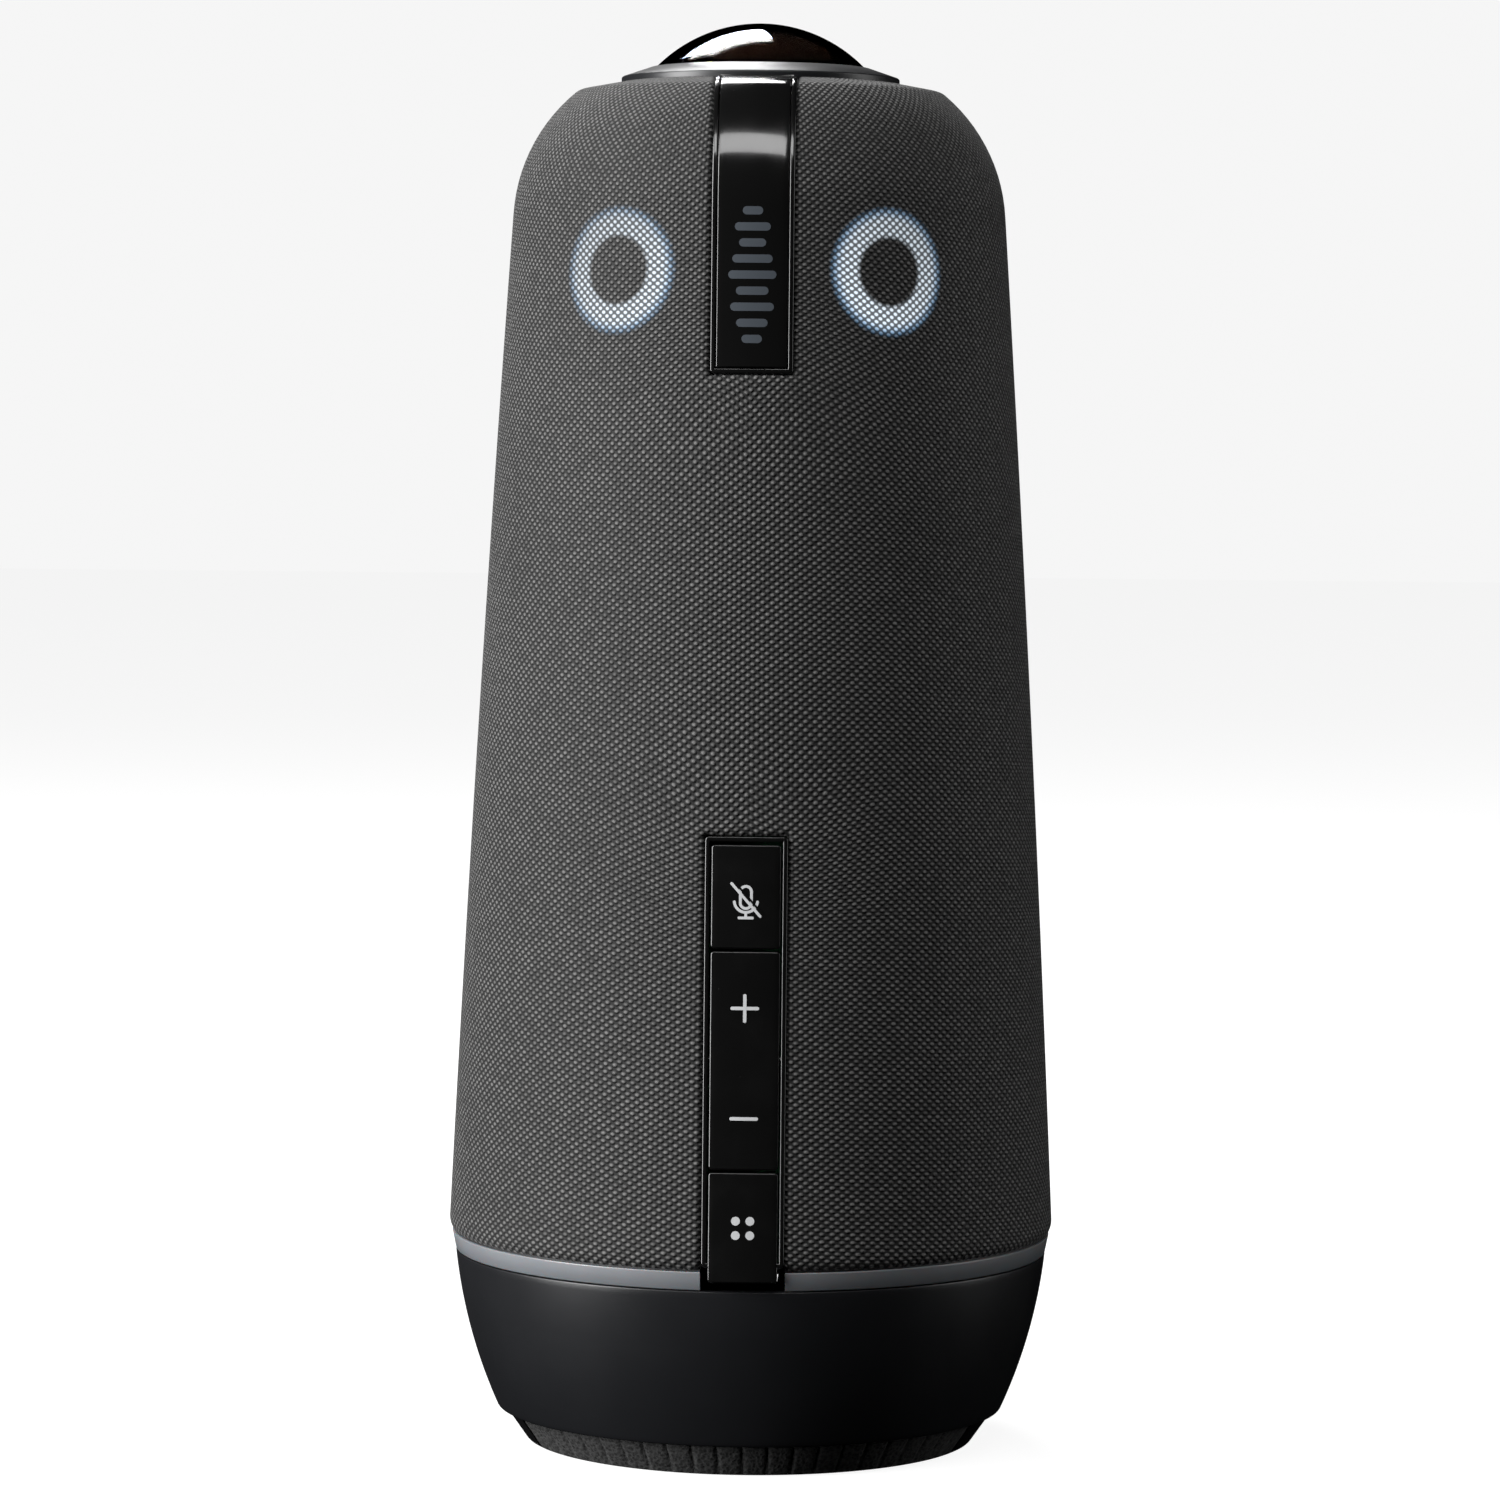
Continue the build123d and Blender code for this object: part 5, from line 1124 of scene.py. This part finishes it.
def base_cover():
    """Bowl with the port window at the back."""
    window_low, window_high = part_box("port_panel")
    band = window_high.x + SEAM
    low_z, high_z = window_low.z - SEAM / 2, window_high.z + SEAM
    outer = shell_outline()
    outer = [p for p in outer if abs(p.y - low_z) > MM / 2 and abs(p.y - high_z) > MM / 2]

    def at(z):
        below = max((p for p in outer if p.y <= z), key=lambda p: p.y)
        above = min((p for p in outer if p.y > z), key=lambda p: p.y)
        return below + (above - below) * ((z - below.y) / (above.y - below.y))

    outer = sorted(outer + [at(low_z), at(high_z)], key=lambda p: p.y)
    inside = Vector((-SHELL_WALL, 0))
    outline = rounded([outer[0] + inside * 1.5, outer[0], outer[1]], 0.4 * MM)[:-1]
    outline += outer[1:-1]
    outline += rounded([outer[-2], outer[-1], outer[-1] + inside], 0.25 * MM)[1:]
    outline.append(outer[-1] + inside + Vector((0, -2 * MM)))
    reference = SHELL_TOP_RADIUS
    columns = banded_columns(band, reference, 2.5 * MM)
    points, faces = [], []
    for radius, z in outline:
        for t in columns[:-1]:
            angle = banded_angle(t, radius, band, reference) + pi
            points.append(Vector((radius * sin(angle), -radius * cos(angle), z)))
    count = len(columns) - 1
    edge = asin(band / reference) + 1e-6
    for i in range(len(outline) - 1):
        middle = (outline[i][1] + outline[i + 1][1]) / 2
        for j in range(count):
            if abs(columns[j] + columns[j + 1]) / 2 < edge and low_z < middle < high_z:
                continue
            k = (j + 1) % count
            faces.append((i * count + j, i * count + k, (i + 1) * count + k, (i + 1) * count + j))

    tuck_edges(points, faces, lambda point: towards_axis(point, SHELL_WALL))
    piece = new_object("base_cover", points, faces, MATERIALS["satin_black"], 50)
    finished(piece, "body", "satin_black", "base_shell")


def ring_light():
    """Frosted ring, open at the front for the key strip."""
    depth, step_in = 5.6 * MM, 1.4 * MM
    outline = rounded([
        (SHELL_TOP_RADIUS - depth, SHELL_HIGH - MM),
        (SHELL_TOP_RADIUS - step_in, SHELL_HIGH - MM),
        (SHELL_TOP_RADIUS - step_in, SHELL_HIGH + SEAM),
        (SHELL_TOP_RADIUS, SHELL_HIGH + SEAM),
        (RING_HIGH_RADIUS, RING_HIGH),
        (SHELL_TOP_RADIUS - depth, RING_HIGH),
    ], 0.2 * MM)
    band = STRIP_WIDTH / 2 + SEAM
    start = asin(band / SHELL_TOP_RADIUS)
    columns = 220
    points = []
    for n in range(columns + 1):
        t = start + (2 * pi - 2 * start) * n / columns
        for radius, z in outline:
            edge = asin(band / radius)
            angle = edge + (t - start) / (2 * pi - 2 * start) * (2 * pi - 2 * edge)
            points.append((radius * sin(angle), -radius * cos(angle), z))
    faces = sector_faces(columns, len(outline))
    piece = new_object("light_ring_guide", points, faces, MATERIALS["frosted"], 40)
    finished(piece, "body", "frosted", "light_ring")


FOOT_FACETS = 22
FACET_NOTCH = 0.35 * MM
FACET_COLUMNS = 12
NOTCHES_ACROSS = 8       # a facet's width over a notch's half width


def foot_sector(start, end, notched):
    """Sector of the conical foot: outer wall with shallow vertical notches, and the sole."""
    wall, sole, sole_width = 1.8 * MM, 0.6 * MM, 6.0 * MM
    low_radius = FOOT_TOP_RADIUS - FOOT_FLARE
    inner_low = low_radius + FOOT_FLARE * sole / FOOT_HEIGHT - wall
    outline = rounded([
        (low_radius - sole_width, sole), (low_radius - sole_width, 0), (low_radius, 0),
        (FOOT_TOP_RADIUS, FOOT_HEIGHT), (FOOT_TOP_RADIUS - wall, FOOT_HEIGHT), (inner_low, sole),
    ], 0.5 * MM)
    columns = FACET_COLUMNS * FOOT_FACETS if notched else 40
    points = []
    for n in range(columns + 1):
        angle = start + (end - start) * n / columns
        phase = (n % FACET_COLUMNS) / FACET_COLUMNS if notched else 0.5
        notch = FACET_NOTCH * max(0.0, 1 - min(phase, 1 - phase) * NOTCHES_ACROSS)
        for radius, z in outline:
            outer = radius > low_radius - MM and z > 0.3 * MM
            here = radius - (notch if outer else 0.0)
            points.append((here * sin(angle), -here * cos(angle), z))
    return points, sector_faces(columns, len(outline))


def foot_piece(name, slot, node, sectors):
    finished(new_object(name, *joined(sectors), MATERIALS[slot]), "body", slot, node)


def feet():
    half = FRONT_PAD_HALF_ANGLE
    fronts = [foot_sector(turn - half, turn + half, True) for turn in (0, pi)]
    foot_piece("foot_grips", "foot_rubber", "foot_pads", fronts)
    gap = half + PAD_GAP_ANGLE
    sides = [foot_sector(turn + gap, turn + pi - gap, False) for turn in (0, pi)]
    foot_piece("foot_wedges", "foot_plastic", "foot_sides", sides)


# ---------------------------------------------------------------- room and light
def floor():
    """Pale floor that glows evenly, as lit paper does, and gives the object no light itself."""
    size = 6.0
    points = [(-size, -size, 0), (size, -size, 0), (size, size, 0), (-size, size, 0)]
    paint = Paint("floor_paper", (0.25, 0.25, 0.25), 0.9, Emission_Strength=0.9)
    paint.put("Base Color", paint.mix(paint.noise(3, 2), grey(0.24), grey(0.26)))
    paint.put("Emission Color", grey(1.0))
    sheet = new_object("floor", points, [(0, 1, 2, 3)], paint.material)
    sheet.visible_diffuse = False
    sheet.visible_glossy = False
    sheet.visible_transmission = False


def area_light(name, place, aim, size, power):
    data = bpy.data.lights.new(name, "AREA")
    data.shape = "RECTANGLE"
    data.size, data.size_y = size
    data.energy = power
    light = bpy.data.objects.new(name, data)
    bpy.context.scene.collection.objects.link(light)
    place = Vector(place)
    light.location = place
    light.rotation_mode = "QUATERNION"
    light.rotation_quaternion = (Vector(aim) - place).to_track_quat("-Z", "Y")


def studio():
    """White room that lights nothing itself, and soft panels round the object."""
    world = bpy.data.worlds.new("studio")
    bpy.context.scene.world = world
    world.use_nodes = True
    back = world.node_tree.nodes["Background"]
    back.inputs["Color"].default_value = (1.0, 1.0, 1.0, 1)
    back.inputs["Strength"].default_value = 0.92
    world.cycles_visibility.diffuse = False
    world.cycles_visibility.glossy = False
    world.cycles_visibility.transmission = False
    aim = (0, 0, 0.14)
    area_light("left_panel", (-1.3, -0.55, 0.5), aim, (0.8, 1.5), 58)
    area_light("right_panel", (1.4, 0.1, 0.5), aim, (0.6, 1.4), 6)
    area_light("back_panel", (-0.3, 0.95, 1.36), aim, (0.7, 0.5), 16)
    area_light("front_panel", (-0.1, -1.0, 1.5), aim, (1.2, 0.4), 11)
    bpy.context.scene.view_settings.view_transform = "Standard"


make_camera()
MATERIALS = make_materials()
paint_cad_nodes()
fabric_cover()
key_strip()
top_strip()
key_icons()
level_mark()
lens_pieces()
cap()
base_cover()
ring_light()
feet()
floor()
studio()
